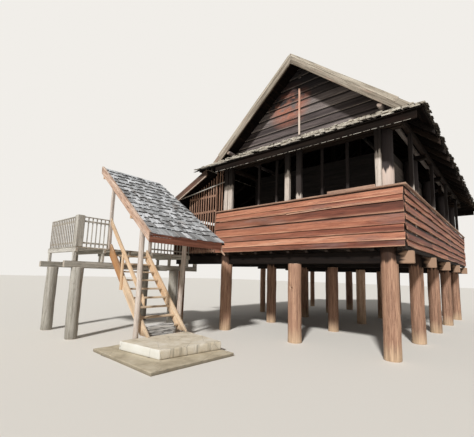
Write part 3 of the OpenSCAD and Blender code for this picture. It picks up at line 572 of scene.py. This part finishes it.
# square gallery posts are pale; the thin ones and the square one by the middle front post get painted shade above
# the parapet
piece, shadedPosts = startPiece(), startPiece()
for one in solidsOf("gallery_posts"):
    low, high = boxOf(one)
    pale = high.x - low.x > 0.1 and not -1.95 < low.x < -1.9
    hewn(piece if pale else shadedPosts, one, edge=0.005, bend=0.006, marks=0.003, tone=0.6)
finishPiece(piece, "squaredGalleryPosts", paleTimber, "pale_wood", "gallery_posts")
finishPiece(shadedPosts, "paintedShadeGalleryPosts", paintedShadePostTimber, "pale_wood")

# end beams, and the thin eave boards, near black for painted shade, with a broken lath along their lower edge;
# its short pale pieces are partly painted light, the dots of sunlight through the ragged shingle edge
eaveLath = {
    "lengths": (0.03, 0.16), "widths": (0.004, 0.009), "thick": 0.006, "gaps": (0.015, 0.07), "proud": 0.004,
}
piece, eaves, laths = startPiece(), startPiece(), startPiece()
for one in solidsOf("end_beams"):
    low, high = boxOf(one)
    isEave = high.y - low.y <= 0.03
    hewn(eaves if isEave else piece, one, edge=0.004, ring=0.4)
    x, z = low.x, low.z + eaveLath["thick"]
    y = low.y - eaveLath["proud"] if low.y < 0 else high.y + eaveLath["proud"]
    while isEave and x < high.x - 0.1:
        length = random.uniform(*eaveLath["lengths"])
        plank(laths, (x, y, z), (min(x + length, high.x), y, z), random.uniform(*eaveLath["widths"]),
              eaveLath["thick"], edge=0.001)
        x += length + random.uniform(*eaveLath["gaps"])
finishPiece(piece, "endBeamTimbers", darkTimber, "beam_wood", "end_beams")
finishPiece(eaves, "eaveBoardTimbers", liningTimber, "beam_wood")
finishPiece(laths, "eaveLaths", deckTimber, "beam_wood")
hewnPiece("sidePlateTimbers", darkTimber, "beam_wood", "side_plates")
hewnPiece("tieBeamTimbers", darkTimber, "beam_wood", "tie_beams", edge=0.008)
hewnPiece("kingPostTimbers", darkTimber, "beam_wood", "king_posts", edge=0.005)
hewnPiece("roundPurlins", greyTimber, "beam_wood", "purlins", edge=0.008)
hewnPiece("rafterTimbers", darkTimber, "beam_wood", "rafters", edge=0.004, ring=0.8, bend=0.003)
hewnPiece("gableStripBoards", roseTimber, "pale_wood", "gable_strips", edge=0.003, tone=0.6)
print("frame dressed")


# boards lapped like clapboard on a wall: each leans out at its foot over the one below
def lapWall(piece, start, end, outward, bottom, heights, spec):
    start, end, outward = Vector(start), Vector(end), Vector(outward)
    length, run = (end - start).length, (end - start).normalized()
    z = bottom
    for k, height in enumerate(heights):
        top = z + height + (spec["lap"] if k < len(heights) - 1 else 0)
        low = z + random.uniform(-1, 1) * spec["uneven"]
        wide = (up * (top - low) - outward * spec["lean"]).normalized()
        centre = up * (low + top) / 2 - outward * (spec["lean"] / 2 + spec["thick"] / 2)
        joints = [0.0] + spec.get("joints", {}).get(k, []) + [length]
        for a, b in zip(joints, joints[1:]):
            first = start + run * (a + (random.uniform(0, spec["ragged"]) if a == 0 else 0.002))
            last = start + run * (b - (random.uniform(0, spec["ragged"]) if b == length else 0.002))
            tilt = up * random.uniform(-1, 1) * spec["uneven"] * 0.5
            tone = random.uniform(0, spec.get("palest", 1))
            plank(piece, first + centre - tilt, last + centre + tilt, top - low, spec["thick"], wide,
                  cuts=max(2, int((b - a) / 0.22)), warp=spec["warp"], tone=tone)
        z += height


parapet = {
    "heights": [0.117, 0.156, 0.146, 0.224, 0.234, 0.107, 0.166],       # from the lowest board up
    "lap": 0.03, "lean": 0.028, "thick": 0.022, "uneven": 0.004, "warp": 0.008, "ragged": 0.028,
    "bottom": 2.092, "palest": 0.85,
}
sideParapet = dict(
    parapet, lean=0.048, uneven=0.018, warp=0.02, ragged=0.04, thick=0.024, palest=0.7,
    heights=[0.15, 0.14, 0.2, 0.17, 0.2, 0.13, 0.16],
    joints={0: [4.68], 1: [2.42], 2: [2.5], 3: [2.46, 6.6], 4: [4.7], 5: [2.55]})
backParapet = dict(parapet, heights=parapet["heights"][::-1], joints={1: [3.2], 3: [4.1], 5: [2.2], 6: [4.4]})
passageParapet = dict(parapet, joints={0: [3.3], 2: [4.9], 4: [6.1], 5: [2.6], 6: [4.2]})
# worn ledge under the second board and the thin ledger near the corner:
# x and z of both ends, face, width, thickness, bend, tone
ledges = [
    ((-4.35, 2.958), (-2.16, 2.957), -0.281, 0.022, 0.012, 0.004, 0.95),
    ((-2.15, 2.946), (-1.03, 2.962), -0.283, 0.03, 0.014, 0.012, 1.0),
    ((-1.02, 2.962), (0.355, 2.96), -0.281, 0.02, 0.012, 0.004, 0.9),
]


def parapetWall(label, finish, start, end, outward, spec, strips=()):
    piece = startPiece()
    lapWall(piece, (*start, 0), (*end, 0), outward, spec["bottom"], spec["heights"], spec)
    for (x0, z0), (x1, z1), y, width, thick, warp, tone in strips:
        plank(piece, (x0, y, z0), (x1, y, z1), width, thick, cuts=12, warp=warp, tone=tone)
    finishPiece(piece, label + "ParapetBoards", finish, "parapet_wood", label + "_parapet")


left, right, front, back = [house[key] for key in ("left", "right", "front", "back")]
passage = house["passageLeft"]
parapetWall("front", parapetTimber, (left, front), (right - 0.026, front), (0, -1, 0), parapet, ledges)
parapetWall("right", sideParapetTimber, (right, front + 0.08), (right, back - 0.05), (1, 0, 0), sideParapet)
parapetWall("back", parapetTimber, (right, back), (passage, back), (0, 1, 0), backParapet)
parapetWall("passage", parapetTimber, (passage, back - 0.04), (passage, front + 0.045), (-1, 0, 0), passageParapet)
hewnPiece("parapetCapBoards", capTimber, "parapet_wood", "parapet_rails",
          edge=0.004, ring=0.25, marks=0.003, tone=0.3)
print("parapets lapped")

# lapped boards of the inner room
roomBoards = {
    "course": 0.21, "lap": 0.012, "lean": 0.006, "thick": 0.019, "uneven": 0.002, "warp": 0.003, "ragged": 0.001,
}
# the room's boards are coloured near black: painted shade behind the gallery
roomTimber = timber("paintedShadeRoomBoard", {
    "grainMm": 10, "stops": [(0.1, "#1b1715"), (0.4, "#302a27"), (0.66, "#48403b"), (0.92, "#6b625c")],
    "colours": ("#352d29", "#7a6a5c", "#0a0705", "#524439", "#463a30"), "toneShare": 0.9, "rough": (0.66, 0.88),
})
piece = startPiece()
for one in solidsOf("room_walls"):
    low, high = boxOf(one)
    one.free()
    size, centre = high - low, (low + high) / 2
    flat = 1 if size.x > size.y else 0      # the axis across the wall
    isFar = centre[flat] > (house["middle"], house["length"] / 2)[flat]
    outward = (xWay, yWay)[flat] * (1 if isFar else -1)
    start, end = Vector((low.x, low.y, 0)), Vector((high.x, high.y, 0))
    start[flat] = end[flat] = (high if isFar else low)[flat]
    courses = max(1, round(size.z / roomBoards["course"]))
    lapWall(piece, start, end, outward, low.z, [size.z / courses] * courses, roomBoards)
finishPiece(piece, "roomWallBoards", roomTimber, "grey_wood", "room_walls")


# floor boards along X, side by side in a flat box
def boardFloor(piece, low, high, width, gap, warp=0.002, ragged=0.0):
    count = max(1, round((high[1] - low[1]) / width))
    pitch = (high[1] - low[1]) / count
    z, thick = (low[2] + high[2]) / 2, high[2] - low[2] - 0.002
    for k in range(count):
        y = low[1] + (k + 0.5) * pitch
        start = (low[0] + random.uniform(0, ragged), y, z)
        end = (high[0] - random.uniform(0, ragged), y, z)
        plank(piece, start, end, pitch - gap, thick, yWay, cuts=4, warp=warp)


piece = startPiece()
for one in solidsOf("floor_boards"):
    low, high = boxOf(one)
    one.free()
    boardFloor(piece, low, high, 0.165, 0.004)
finishPiece(piece, "floorPlanks", darkTimber, "beam_wood", "floor_boards")
print("floors and walls boarded")


# cuts a piece with a plane, keeps the side below it and closes the cut
def trim(piece, point, normal):
    made = bmesh.ops.bisect_plane(piece, geom=everything(piece), plane_co=point, plane_no=normal, clear_outer=True)
    rim = [g for g in made["geom_cut"] if isinstance(g, bmesh.types.BMEdge)]
    bmesh.ops.holes_fill(piece, edges=rim, sides=0)
    piece.normal_update()


gable = {
    "course": 0.208, "lap": 0.026, "lean": 0.022, "thick": 0.02, "uneven": 0.004, "warp": 0.005, "ragged": 0.0,
    "bottom": 4.7235, "palest": 0.62, "overhang": 2.6, "underRidge": 0.088,
}
mainAngle = math.atan(house["mainTan"])
ridgeHeight = house["eave"] + house["halfSpan"] * house["mainTan"]
piece = startPiece()
for y, out in ((house["gable"], -1), (house["length"] - house["gable"], 1)):
    wall = startPiece()
    heights, z = [], gable["bottom"]
    while z < ridgeHeight - 0.1:
        step = gable["course"] * random.uniform(0.86, 1.14)
        heights.append(step)
        z += step
    lapWall(wall, (house["middle"] - gable["overhang"], y, 0), (house["middle"] + gable["overhang"], y, 0),
            (0, out, 0), gable["bottom"], heights, gable)
    peak = Vector((house["middle"], 0, ridgeHeight - gable["underRidge"]))
    for side in (-1, 1):
        trim(wall, peak, Vector((side * house["mainTan"], 0, 1)).normalized())
    addTo(piece, wall)
finishPiece(piece, "gableWallBoards", greyTimber, "grey_wood", "gable_walls")

# bargeboards with a narrow cover board over their upper half
coverBoard = {"faces": (-0.302, 9.102), "foot": 2.40, "head": 0.03, "width": 0.105, "thick": 0.014, "taper": 0.55}
piece = startPiece()
for one in solidsOf("bargeboards"):
    hewn(piece, one, edge=0.005, ring=0.25, bend=0.003, marks=0.003, tone=0.3)
for y in coverBoard["faces"]:
    for side in (-1, 1):
        start, end = [
            Vector((house["middle"] + side * away, y, ridgeHeight - away * house["mainTan"] - drop))
            for away, drop in ((coverBoard["foot"], 0.018), (coverBoard["head"], 0.004))]
        plank(piece, start, end, coverBoard["width"], coverBoard["thick"], cuts=16, warp=0.004,
              taper=coverBoard["taper"], tone=0.6)
finishPiece(piece, "bargeboardTimbers", bargeTimber, "pale_wood", "bargeboards")
print("gables closed")


# a slope of split shingles from a point of the eave. reach gives where a course starts and
# ends along the eave at a distance up the slope, planes gives what cuts the ends of that course
def shingles(piece, origin, eave, slope, slopeLength, reach, spec, planes=None):
    out = eave.cross(slope)
    place = Matrix.Translation(origin) @ Matrix((eave, slope, out)).transposed().to_4x4()
    flip = 1 if out.z > 0 else -1
    courses = max(1, round(slopeLength / spec["exposure"]))
    step = slopeLength / courses
    for k in range(courses):
        s = k * step
        first, last = reach(s + step * 0.3)
        x = first + random.uniform(-0.5, 0) * spec["width"]
        courseTone = random.uniform(-spec["courseTone"], spec["courseTone"])
        isPlain = spec["plainEave"] and k == 0
        while x < last:
            width = spec["width"] * random.uniform(0.75, 1.25) * (1 if k else spec["eaveWider"])
            left, right = max(x, first), min(x + width, last)
            x += width
            if right - left < spec["width"] * spec["narrowest"]:
                continue
            length = min(step * spec["cover"], slopeLength - s + 0.005)
            butt = random.uniform(0, spec["ragged"]) if k else random.uniform(*spec["eaveRagged"])
            one = startPiece()
            bmesh.ops.create_cube(one, size=1)
            cross = [e for e in one.edges if abs(e.verts[0].co.y - e.verts[1].co.y) > 0.5]
            bmesh.ops.subdivide_edges(one, edges=cross, cuts=1, use_grid_fill=True)
            curl = random.uniform(0, spec["curl"])
            thick = spec["thick"] * random.uniform(0.8, 1.15)
            gap = random.uniform(*spec["gap"]) / 2
            skew = random.uniform(-1, 1) * spec["skew"]
            feather = 0 if k else thick * spec.get("feather", 0)        # at the eave the butts are worn thin
            if feather:
                thick *= 0.55
            # butt faces: pale wear on the mossy shingles, dark painted shade on the silver ones
            wornFaces = {f for f in one.faces if f.normal.y < -0.8 and not isPlain}
            for v in one.verts:
                t = v.co.y + 0.5
                across = (left + gap) if v.co.x < 0 else (right - gap)
                y = butt + t * (length - butt)
                if t < 0.1:         # the butt, chipped a little
                    y += spec["chip"] * random.uniform(-1, 1) + (feather if v.co.z > 0 else 0)
                sink = spec["top"] + spec["drop"] * y / step
                height = -sink + curl * (1 - t) ** 2 - (0 if v.co.z > 0 else thick * (1 - spec["taper"] * t))
                v.co = Vector((across + skew * (t - 0.5), s + y, height * flip))
            # the eave course is made darker: painted shade under the eave
            tone = random.gauss(spec.get("tone", 0.5), spec["spread"]) + courseTone - (0 if k else spec["eavePaintedShade"])
            if flip < 0:
                bmesh.ops.reverse_faces(one, faces=one.faces)
            one.normal_update()
            markGrain(one, yWay, xWay, (length, width), wornFaces, min(1.0, max(0.0, tone)), not isPlain)
            one.transform(place)
            atEnd = x - width < first + 0.4 or x > last - 0.4
            for point, normal in planes(s) if planes and atEnd else []:
                if any((v.co - point).dot(normal) > 0 for v in one.verts):
                    trim(one, point, normal)
            if len(one.faces) > 3:
                addTo(piece, one)
            else:
                one.free()


# the closed layer under the shingles, cut out of a copy of the CAD solid; back moves its eave up the slope
def lining(piece, node, point, slope, normal, depth, back):
    cuts = [(point - normal * depth[0], normal), (point - normal * depth[1], -normal)]
    if back:
        cuts.insert(0, (point + slope * back, -slope))
    for one in solidsOf(node):
        for at, way in cuts:
            if len(one.faces) > 3:
                trim(one, at, way)
        if len(one.faces) > 3:
            markGrain(one, yWay, xWay, (1, 1), set(), 0.4)
            addTo(piece, one)
        else:
            one.free()


def battens(piece, origin, eave, slope, normal, reach, spec):
    for k in range(spec["count"]):
        s = spec["first"] + k * spec["pitch"]
        near, far = reach(s)
        centre = origin + slope * s - normal * spec["depth"]
        plank(piece, centre + eave * (near + spec["short"]), centre + eave * (far - spec["short"]),
              spec["width"], spec["thick"], slope, edge=0)


# the shingles of a slope along Y as one piece, its lining and battens as another
def roofSlope(label, node, finish, slotName, origin, slope, normal, length, reach, spec, planes=None, piece=None):
    if piece is None:
        piece = startPiece()
    shingles(piece, origin, yWay, slope, length, reach, spec, planes)
    finishPiece(piece, label + "Shingles", finish, slotName, node)
    under = startPiece()
    lining(under, node, origin, slope, normal, spec["lining"], spec["back"])
    battens(under, origin, yWay, slope, normal, reach, spec["batten"])
    finishPiece(under, label + "Underside", liningTimber, slotName)


# the directions up a slope and out of it; x and y are the way it rises on the ground
def rising(angle, x, y):
    cos, sin = math.cos(angle), math.sin(angle)
    return Vector((x * cos, y * cos, sin)), Vector((-x * sin, -y * sin, cos))


mainBatten = {
    "count": 20, "first": 0.115, "pitch": 0.196, "depth": 0.054, "width": 0.045, "thick": 0.018, "short": 0.02,
}
mainShingle = {
    "exposure": 0.2, "width": 0.115, "thick": 0.017, "cover": 1.9, "top": 0.0, "drop": 0.0165, "ragged": 0.022,
    "curl": 0.01, "gap": (0.004, 0.014), "skew": 0.008, "spread": 0.22, "eaveRagged": (0.0, 0.085),
    "eavePaintedShade": 0.5, "plainEave": True, "eaveWider": 1.4, "narrowest": 0.25, "chip": 0.006, "taper": 0.45,
    "courseTone": 0.12, "lining": (0.036, 0.045), "back": 0.09, "batten": mainBatten,
}
mainLength = house["halfSpan"] / math.cos(mainAngle)
skirtAngle = math.atan(house["skirtTan"])
# the eave lines of the skirts and the way each rises, then the planes of all four slopes
skirtEnds = ((house["frontEave"], 1), (house["length"] - house["frontEave"], -1))
above = {"skirt": 0.012, "main": 0.008}        # the planes lie a little above the slopes
skirtPlanes = [
    (Vector((0, y, house["eave"] + above["skirt"])), rising(skirtAngle, 0, inward)[1]) for y, inward in skirtEnds]
mainPlanes = [
    (Vector((house["middle"] + side * house["halfSpan"], 0, house["eave"] + above["main"])),
     rising(mainAngle, -side, 0)[1]) for side in (1, -1)]
hipRise = (house["verge"] - house["frontEave"]) * house["skirtTan"] / math.sin(mainAngle)


def mainReach(s):
    y = min(house["frontEave"] + s * math.sin(mainAngle) / house["skirtTan"], house["verge"])
    return y, house["length"] - y


def skirtReach(s):
    half = house["halfSpan"] - s * math.sin(skirtAngle) / house["mainTan"]
    return -half, half


for side, label in ((1, "right"), (-1, "left")):
    slope, normal = rising(mainAngle, -side, 0)
    origin = Vector((house["middle"] + side * house["halfSpan"], 0, house["eave"]))
    roofSlope(label + "Roof", label + "_roof", mossyShingle, "roof_shingle", origin, slope, normal, mainLength,
              mainReach, mainShingle, lambda s: skirtPlanes if s < hipRise - 0.1 else [])

# skirts over the two ends, more ragged and curled
skirt = dict(
    mainShingle, exposure=0.15, width=0.105, ragged=0.07, curl=0.05, spread=0.7, tone=0.95, thick=0.024,
    gap=(0.012, 0.034), eaveRagged=(-0.035, 0.035), eavePaintedShade=0, plainEave=False, lining=(0.048, 0.057),
    batten=dict(mainBatten, count=6, first=0.03, pitch=0.17, short=0.03))
skirtLength = (house["gable"] - house["frontEave"]) / math.cos(skirtAngle)
piece, under = startPiece(), startPiece()
for y, inward in skirtEnds:
    slope, normal = rising(skirtAngle, 0, inward)
    origin = Vector((house["middle"], y, house["eave"]))
    shingles(piece, origin, xWay, slope, skirtLength, skirtReach, skirt, lambda s: mainPlanes)
    battens(under, origin, xWay, slope, normal, skirtReach, skirt["batten"])
for one in solidsOf("end_skirts"):
    point, normal = skirtPlanes[0 if boxOf(one)[0].y < 0 else 1]
    trim(one, point - normal * skirt["lining"][0], normal)
    trim(one, point - normal * skirt["lining"][1], -normal)
    markGrain(one, xWay, yWay, (1, 1), set(), 0.4)
    addTo(under, one)
finishPiece(piece, "skirtShingles", mossyShingle, "roof_shingle", "end_skirts")
finishPiece(under, "skirtUnderside", liningTimber, "roof_shingle")
hewnPiece("ridgeCapBoards", bargeTimber, "roof_shingle", "ridge_cap",
          edge=0.003, ring=0.4, bend=0.002, marks=0.003, along=yWay)

# lean-to over the passage
lean = {"high": 4.26, "highX": -5.03, "tan": 0.45, "left": -6.80, "right": -4.58, "front": -0.61, "back": 9.41}
leanShingle = dict(
    mainShingle, eaveRagged=(0.0, 0.05), lining=(0.034, 0.042), back=0.05,
    batten=dict(mainBatten, count=12, first=0.075, pitch=0.202, depth=0.048, thick=0.012))
leanStrip = {"drop": 0.192, "short": 0.02, "width": 0.03, "thick": 0.008, "proud": 0.004}


def leanHeight(x):
    return lean["high"] + (x - lean["highX"]) * lean["tan"]


leanAngle = math.atan(lean["tan"])
leanLength = (lean["right"] - lean["left"]) / math.cos(leanAngle)
slope, normal = rising(leanAngle, 1, 0)
origin = Vector((lean["left"], 0, leanHeight(lean["left"])))
roofSlope("leanRoof", "lean_roof", mossyShingle, "roof_shingle", origin, slope, normal, leanLength,
          lambda s: (lean["front"], lean["back"]), leanShingle)
piece, laths = startPiece(), startPiece()
for one in solidsOf("lean_frame"):      # the lath is the one 1.2 to 1.7 m long
    low, high = boxOf(one)
    hewn(laths if 1.2 < high.x - low.x < 1.7 else piece, one, edge=0.003, ring=0.4, bend=0.003)
finishPiece(piece, "leanFrameTimbers", darkTimber, "beam_wood", "lean_frame")
finishPiece(laths, "leanLath", deckTimber, "grey_wood")
# its bargeboards, with a paler strip nailed along the lower edge
piece = startPiece()
for one in solidsOf("lean_bargeboards"):
    low, high = boxOf(one)
    hewn(piece, one, edge=0.004, ring=0.25, tone=0.25)
    y = low.y - leanStrip["proud"] if low.y < 0 else high.y + leanStrip["proud"]
    ends = (low.x + leanStrip["short"], high.x - leanStrip["short"])
    start, end = [(x, y, leanHeight(x) - leanStrip["drop"]) for x in ends]
    plank(piece, start, end, leanStrip["width"], leanStrip["thick"], cuts=10, warp=0.002, tone=1.0)
finishPiece(piece, "leanBargeTimbers", leanBargeTimber, "grey_wood", "lean_bargeboards")
hewnPiece("screenBattens", vergeTimber, "tan_wood", "front_screen",
          edge=0.002, ring=0.4, bend=0.006, marks=0.001, tone=0.2)
print("roofs shingled")

# landing and stair
piece = startPiece()
boardFloor(piece, *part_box("landing_floor"), 0.13, 0.008, warp=0.003, ragged=0.015)
finishPiece(piece, "landingPlanks", deckTimber, "deck_wood", "landing_floor")
hewnPiece("landingBeamTimbers", deckTimber, "deck_wood", "landing_beams")
hewnPiece("landingPostTimbers", deckTimber, "deck_wood", "landing_posts",
          edge=0.01, ring=0.2, bend=0.012, marks=0.009, tone=0.4)
hewnPiece("landingRailing", deckTimber, "deck_wood", "landing_balustrade",
          edge=0.002, bend=0.003, marks=0.001, tone=0.6)
# each stringer is two planks; the upper one of the near stringer is a deeper tan
stringer = {"between": -2.5, "nearJoint": -4.85, "farJoint": -4.55}
piece = startPiece()
for one in solidsOf("stair_stringers"):
    isNear = boxOf(one)[0].y < stringer["between"]
    joint = xWay * stringer["nearJoint" if isNear else "farJoint"]
    other = one.copy()
    trim(one, joint, -xWay)
    trim(other, joint, xWay)
    hewn(piece, one, ring=0.22, tone=0.85)
    hewn(piece, other, ring=0.22, tone=0.1 if isNear else 0.7)
finishPiece(piece, "stairStringerBoards", tanTimber, "tan_wood", "stair_stringers")
hewnPiece("stairTreadBoards", tanTimber, "tan_wood", "stair_treads",
          edge=0.007, ring=0.12, bend=0.003, marks=0.004, tone=1.0)
hewnPiece("stairHandrailBoard", tanTimber, "tan_wood", "stair_handrail", edge=0.004, ring=0.22, tone=0.72)
hewnPiece("stairRoofTimbers", tanTimber, "tan_wood", "stair_roof_frame", edge=0.004, bend=0.003)
hewnPiece("stairPoleTimbers", slatTimber, "deck_wood", "stair_poles",
          ring=0.16, bend=0.01, marks=0.006, tone=0.85)
hewnPiece("bleachedFootBlock", bleachedTimber, "deck_wood", "foot_block",
          edge=0.012, ring=0.05, marks=0.014, tone=0.7)

# the stair's roof; its covering narrows upwards
stairRoof = {
    "eaveX": -3.20, "eaveZ": 2.215, "tan": 0.75, "topX": -5.60,
    "near": -3.265, "nearIn": 0.125, "far": -1.26, "farIn": 0.23,
}
stairShingle = dict(
    mainShingle, width=0.105, thick=0.024, top=-0.006, ragged=0.08, curl=0.012, gap=(0.006, 0.022), skew=0.014,
    spread=0.3, eaveRagged=(-0.02, 0.0), eavePaintedShade=0, feather=1.3, lining=(0.03, 0.0475), back=0,
    batten=dict(mainBatten, count=15, first=0.03, pitch=0.2, depth=0.042, width=0.04, thick=0.01, short=0.005))
stairAngle = math.atan(stairRoof["tan"])
stairLength = (stairRoof["eaveX"] - stairRoof["topX"]) / math.cos(stairAngle)
slope, normal = rising(stairAngle, -1, 0)
origin = Vector((stairRoof["eaveX"], 0, stairRoof["eaveZ"]))


def stairReach(s):
    t = s / stairLength
    return stairRoof["near"] + t * stairRoof["nearIn"], stairRoof["far"] - t * stairRoof["farIn"]


piece = startPiece()        # doubled at the eave
shingles(piece, origin - slope * 0.004, yWay, slope, 0.2, stairReach, dict(stairShingle, top=0.008, cover=1.0))
roofSlope("stairRoof", "stair_roof", silverShingle, "stair_shingle", origin, slope, normal, stairLength,
          stairReach, stairShingle, piece=piece)
piece, verges = startPiece(), startPiece()
for one in solidsOf("stair_fascia"):
    low, high = boxOf(one)
    hewn(piece if high.x - low.x < 0.1 else verges, one, edge=0.003, ring=0.2, bend=0.003)
# the fascia's upper edge, up to the shingles
fasciaEdge = {
    "x": stairRoof["eaveX"] + 0.0015, "z": 2.181, "near": -3.26, "far": -1.365, "width": 0.05, "thick": 0.004,
}
start, end = [(fasciaEdge["x"], fasciaEdge[key], fasciaEdge["z"]) for key in ("near", "far")]
plank(piece, start, end, fasciaEdge["width"], fasciaEdge["thick"], cuts=10, warp=0.0008, edge=0, tone=0.5)
finishPiece(piece, "stairFasciaBoard", fasciaTimber, "tan_wood", "stair_fascia")
# a thin worn cap strip on the near verge, in two lengths
capStrip = {"lengths": ((0.0, 1.62), (1.63, stairLength - 0.01)), "width": 0.045, "thick": 0.012, "rise": 0.014}
for length in capStrip["lengths"]:
    start, end = [
        origin + slope * s + normal * capStrip["rise"] + yWay * (stairReach(s)[0] + 0.002) for s in length]
    plank(verges, start, end, capStrip["width"], capStrip["thick"], yWay, cuts=14, warp=0.004, edge=0.002, tone=1.0)
finishPiece(verges, "stairVergeBoards", vergeTimber, "tan_wood")
print("stair and landing dressed")


# a cast slab: its upper edges are worn round and its faces uneven
def slab(name, node, material, spec):
    piece = solidsOf(node)[0]
    low, high = boxOf(piece)
    for axis, normal in enumerate((xWay, yWay, up)):
        size = high[axis] - low[axis]
        count = int(size / spec["grid"])
        for k in range(1, count):
            at = low + normal * (k * size / count)
            bmesh.ops.bisect_plane(piece, geom=everything(piece), plane_co=at, plane_no=normal)
    rim = [e for e in piece.edges if e.calc_face_angle(0) > 0.5]
    bmesh.ops.bevel(piece, geom=rim, offset=spec["edge"], offset_type="OFFSET", segments=2, profile=0.5,
                    affect="EDGES", material=-1)
    piece.normal_update()
    normals = {v: v.normal.copy() for v in piece.verts}
    for v in piece.verts:       # only inwards, so the slab keeps its size
        rough = 0.5 + 0.5 * noise.noise(v.co * 7) + 0.35 * noise.noise(v.co * 24)
        if v.co.z > low.z + 0.002:
            v.co -= normals[v] * spec["uneven"] * max(0.0, rough)
    piece.normal_update()
    finishPiece(piece, name, material, "concrete", node)


slab("upperSlabConcrete", "upper_slab", upperConcrete, {"grid": 0.045, "edge": 0.014, "uneven": 0.006})
slab("lowerSlabConcrete", "lower_slab", lowerConcrete, {"grid": 0.05, "edge": 0.012, "uneven": 0.008})
print("slabs cast")

# plain pale floor
floorMaterial = bpy.data.materials.new("paleStudioFloor")
floorMaterial.use_nodes = True
floorShader = floorMaterial.node_tree.nodes["Principled BSDF"]
floorShader.inputs["Base Color"].default_value = linear("#e6e1d8")
floorShader.inputs["Roughness"].default_value = 0.9
piece = bmesh.new()
bmesh.ops.create_grid(piece, x_segments=1, y_segments=1, size=90)
floorMesh = bpy.data.meshes.new("studioFloor")
piece.to_mesh(floorMesh)
piece.free()
floorMesh.materials.append(floorMaterial)
placed("studioFloor", floorMesh)

# soft light: an even pale world and one wide lamp from the front right
world = bpy.data.worlds.new("studioWorld")
bpy.context.scene.world = world
world.use_nodes = True
world.node_tree.nodes.clear()
add = partial(addNode, world.node_tree)
path = add("LightPath")
glossy = add("Math", {"operation": "MAXIMUM"}, {0: (path, "Is Camera Ray"), 1: (path, "Is Glossy Ray")})
seen = add("Math", {"operation": "MAXIMUM"}, {0: (glossy, 0), 1: (path, "Is Transmission Ray")})
soft = add("Background", {"Color": (1, 1, 1, 1), "Strength": 0.2})
pale = add("Background", {"Color": linear("#f1eee9"), "Strength": 1.0})
both = add("MixShader", links={0: (seen, 0), 1: (soft, 0), 2: (pale, 0)})
add("OutputWorld", links={"Surface": (both, 0)})
lamp = bpy.data.lights.new("wideLamp", "SUN")
lamp.energy = 3.7
lamp.angle = math.radians(5)
placed("wideLamp", lamp).rotation_euler = Vector((-0.41, 1.0, -0.75)).to_track_quat("-Z", "Y").to_euler()

# the photograph's camera, 474 by 437
view = {
    "place": (1.7884, -6.525, 1.4792), "yaw": 0.7202, "pitch": 0.1399, "roll": 0.0284,
    "lens": 23.845, "shiftY": 0.0267,
}
(cosYaw, sinYaw), (cosPitch, sinPitch), (cosRoll, sinRoll) = [
    (math.cos(view[key]), math.sin(view[key])) for key in ("yaw", "pitch", "roll")]
forward = Vector((-sinYaw * cosPitch, cosYaw * cosPitch, sinPitch))
rightWay = Vector((cosYaw, sinYaw, 0))
upWay = rightWay.cross(forward)
turned = Matrix((rightWay * cosRoll + upWay * sinRoll, upWay * cosRoll - rightWay * sinRoll, -forward)).transposed()
camera = bpy.data.cameras.new("photoCamera")
camera.lens = view["lens"]
camera.shift_y = view["shiftY"]
camera.sensor_width = 36
camera.sensor_fit = "HORIZONTAL"
camera.clip_end = 400
cameraObject = placed("photoCamera", camera)
cameraObject.matrix_world = Matrix.Translation(view["place"]) @ turned.to_4x4()
bpy.context.scene.camera = cameraObject
bpy.context.scene.view_settings.view_transform = "Standard"
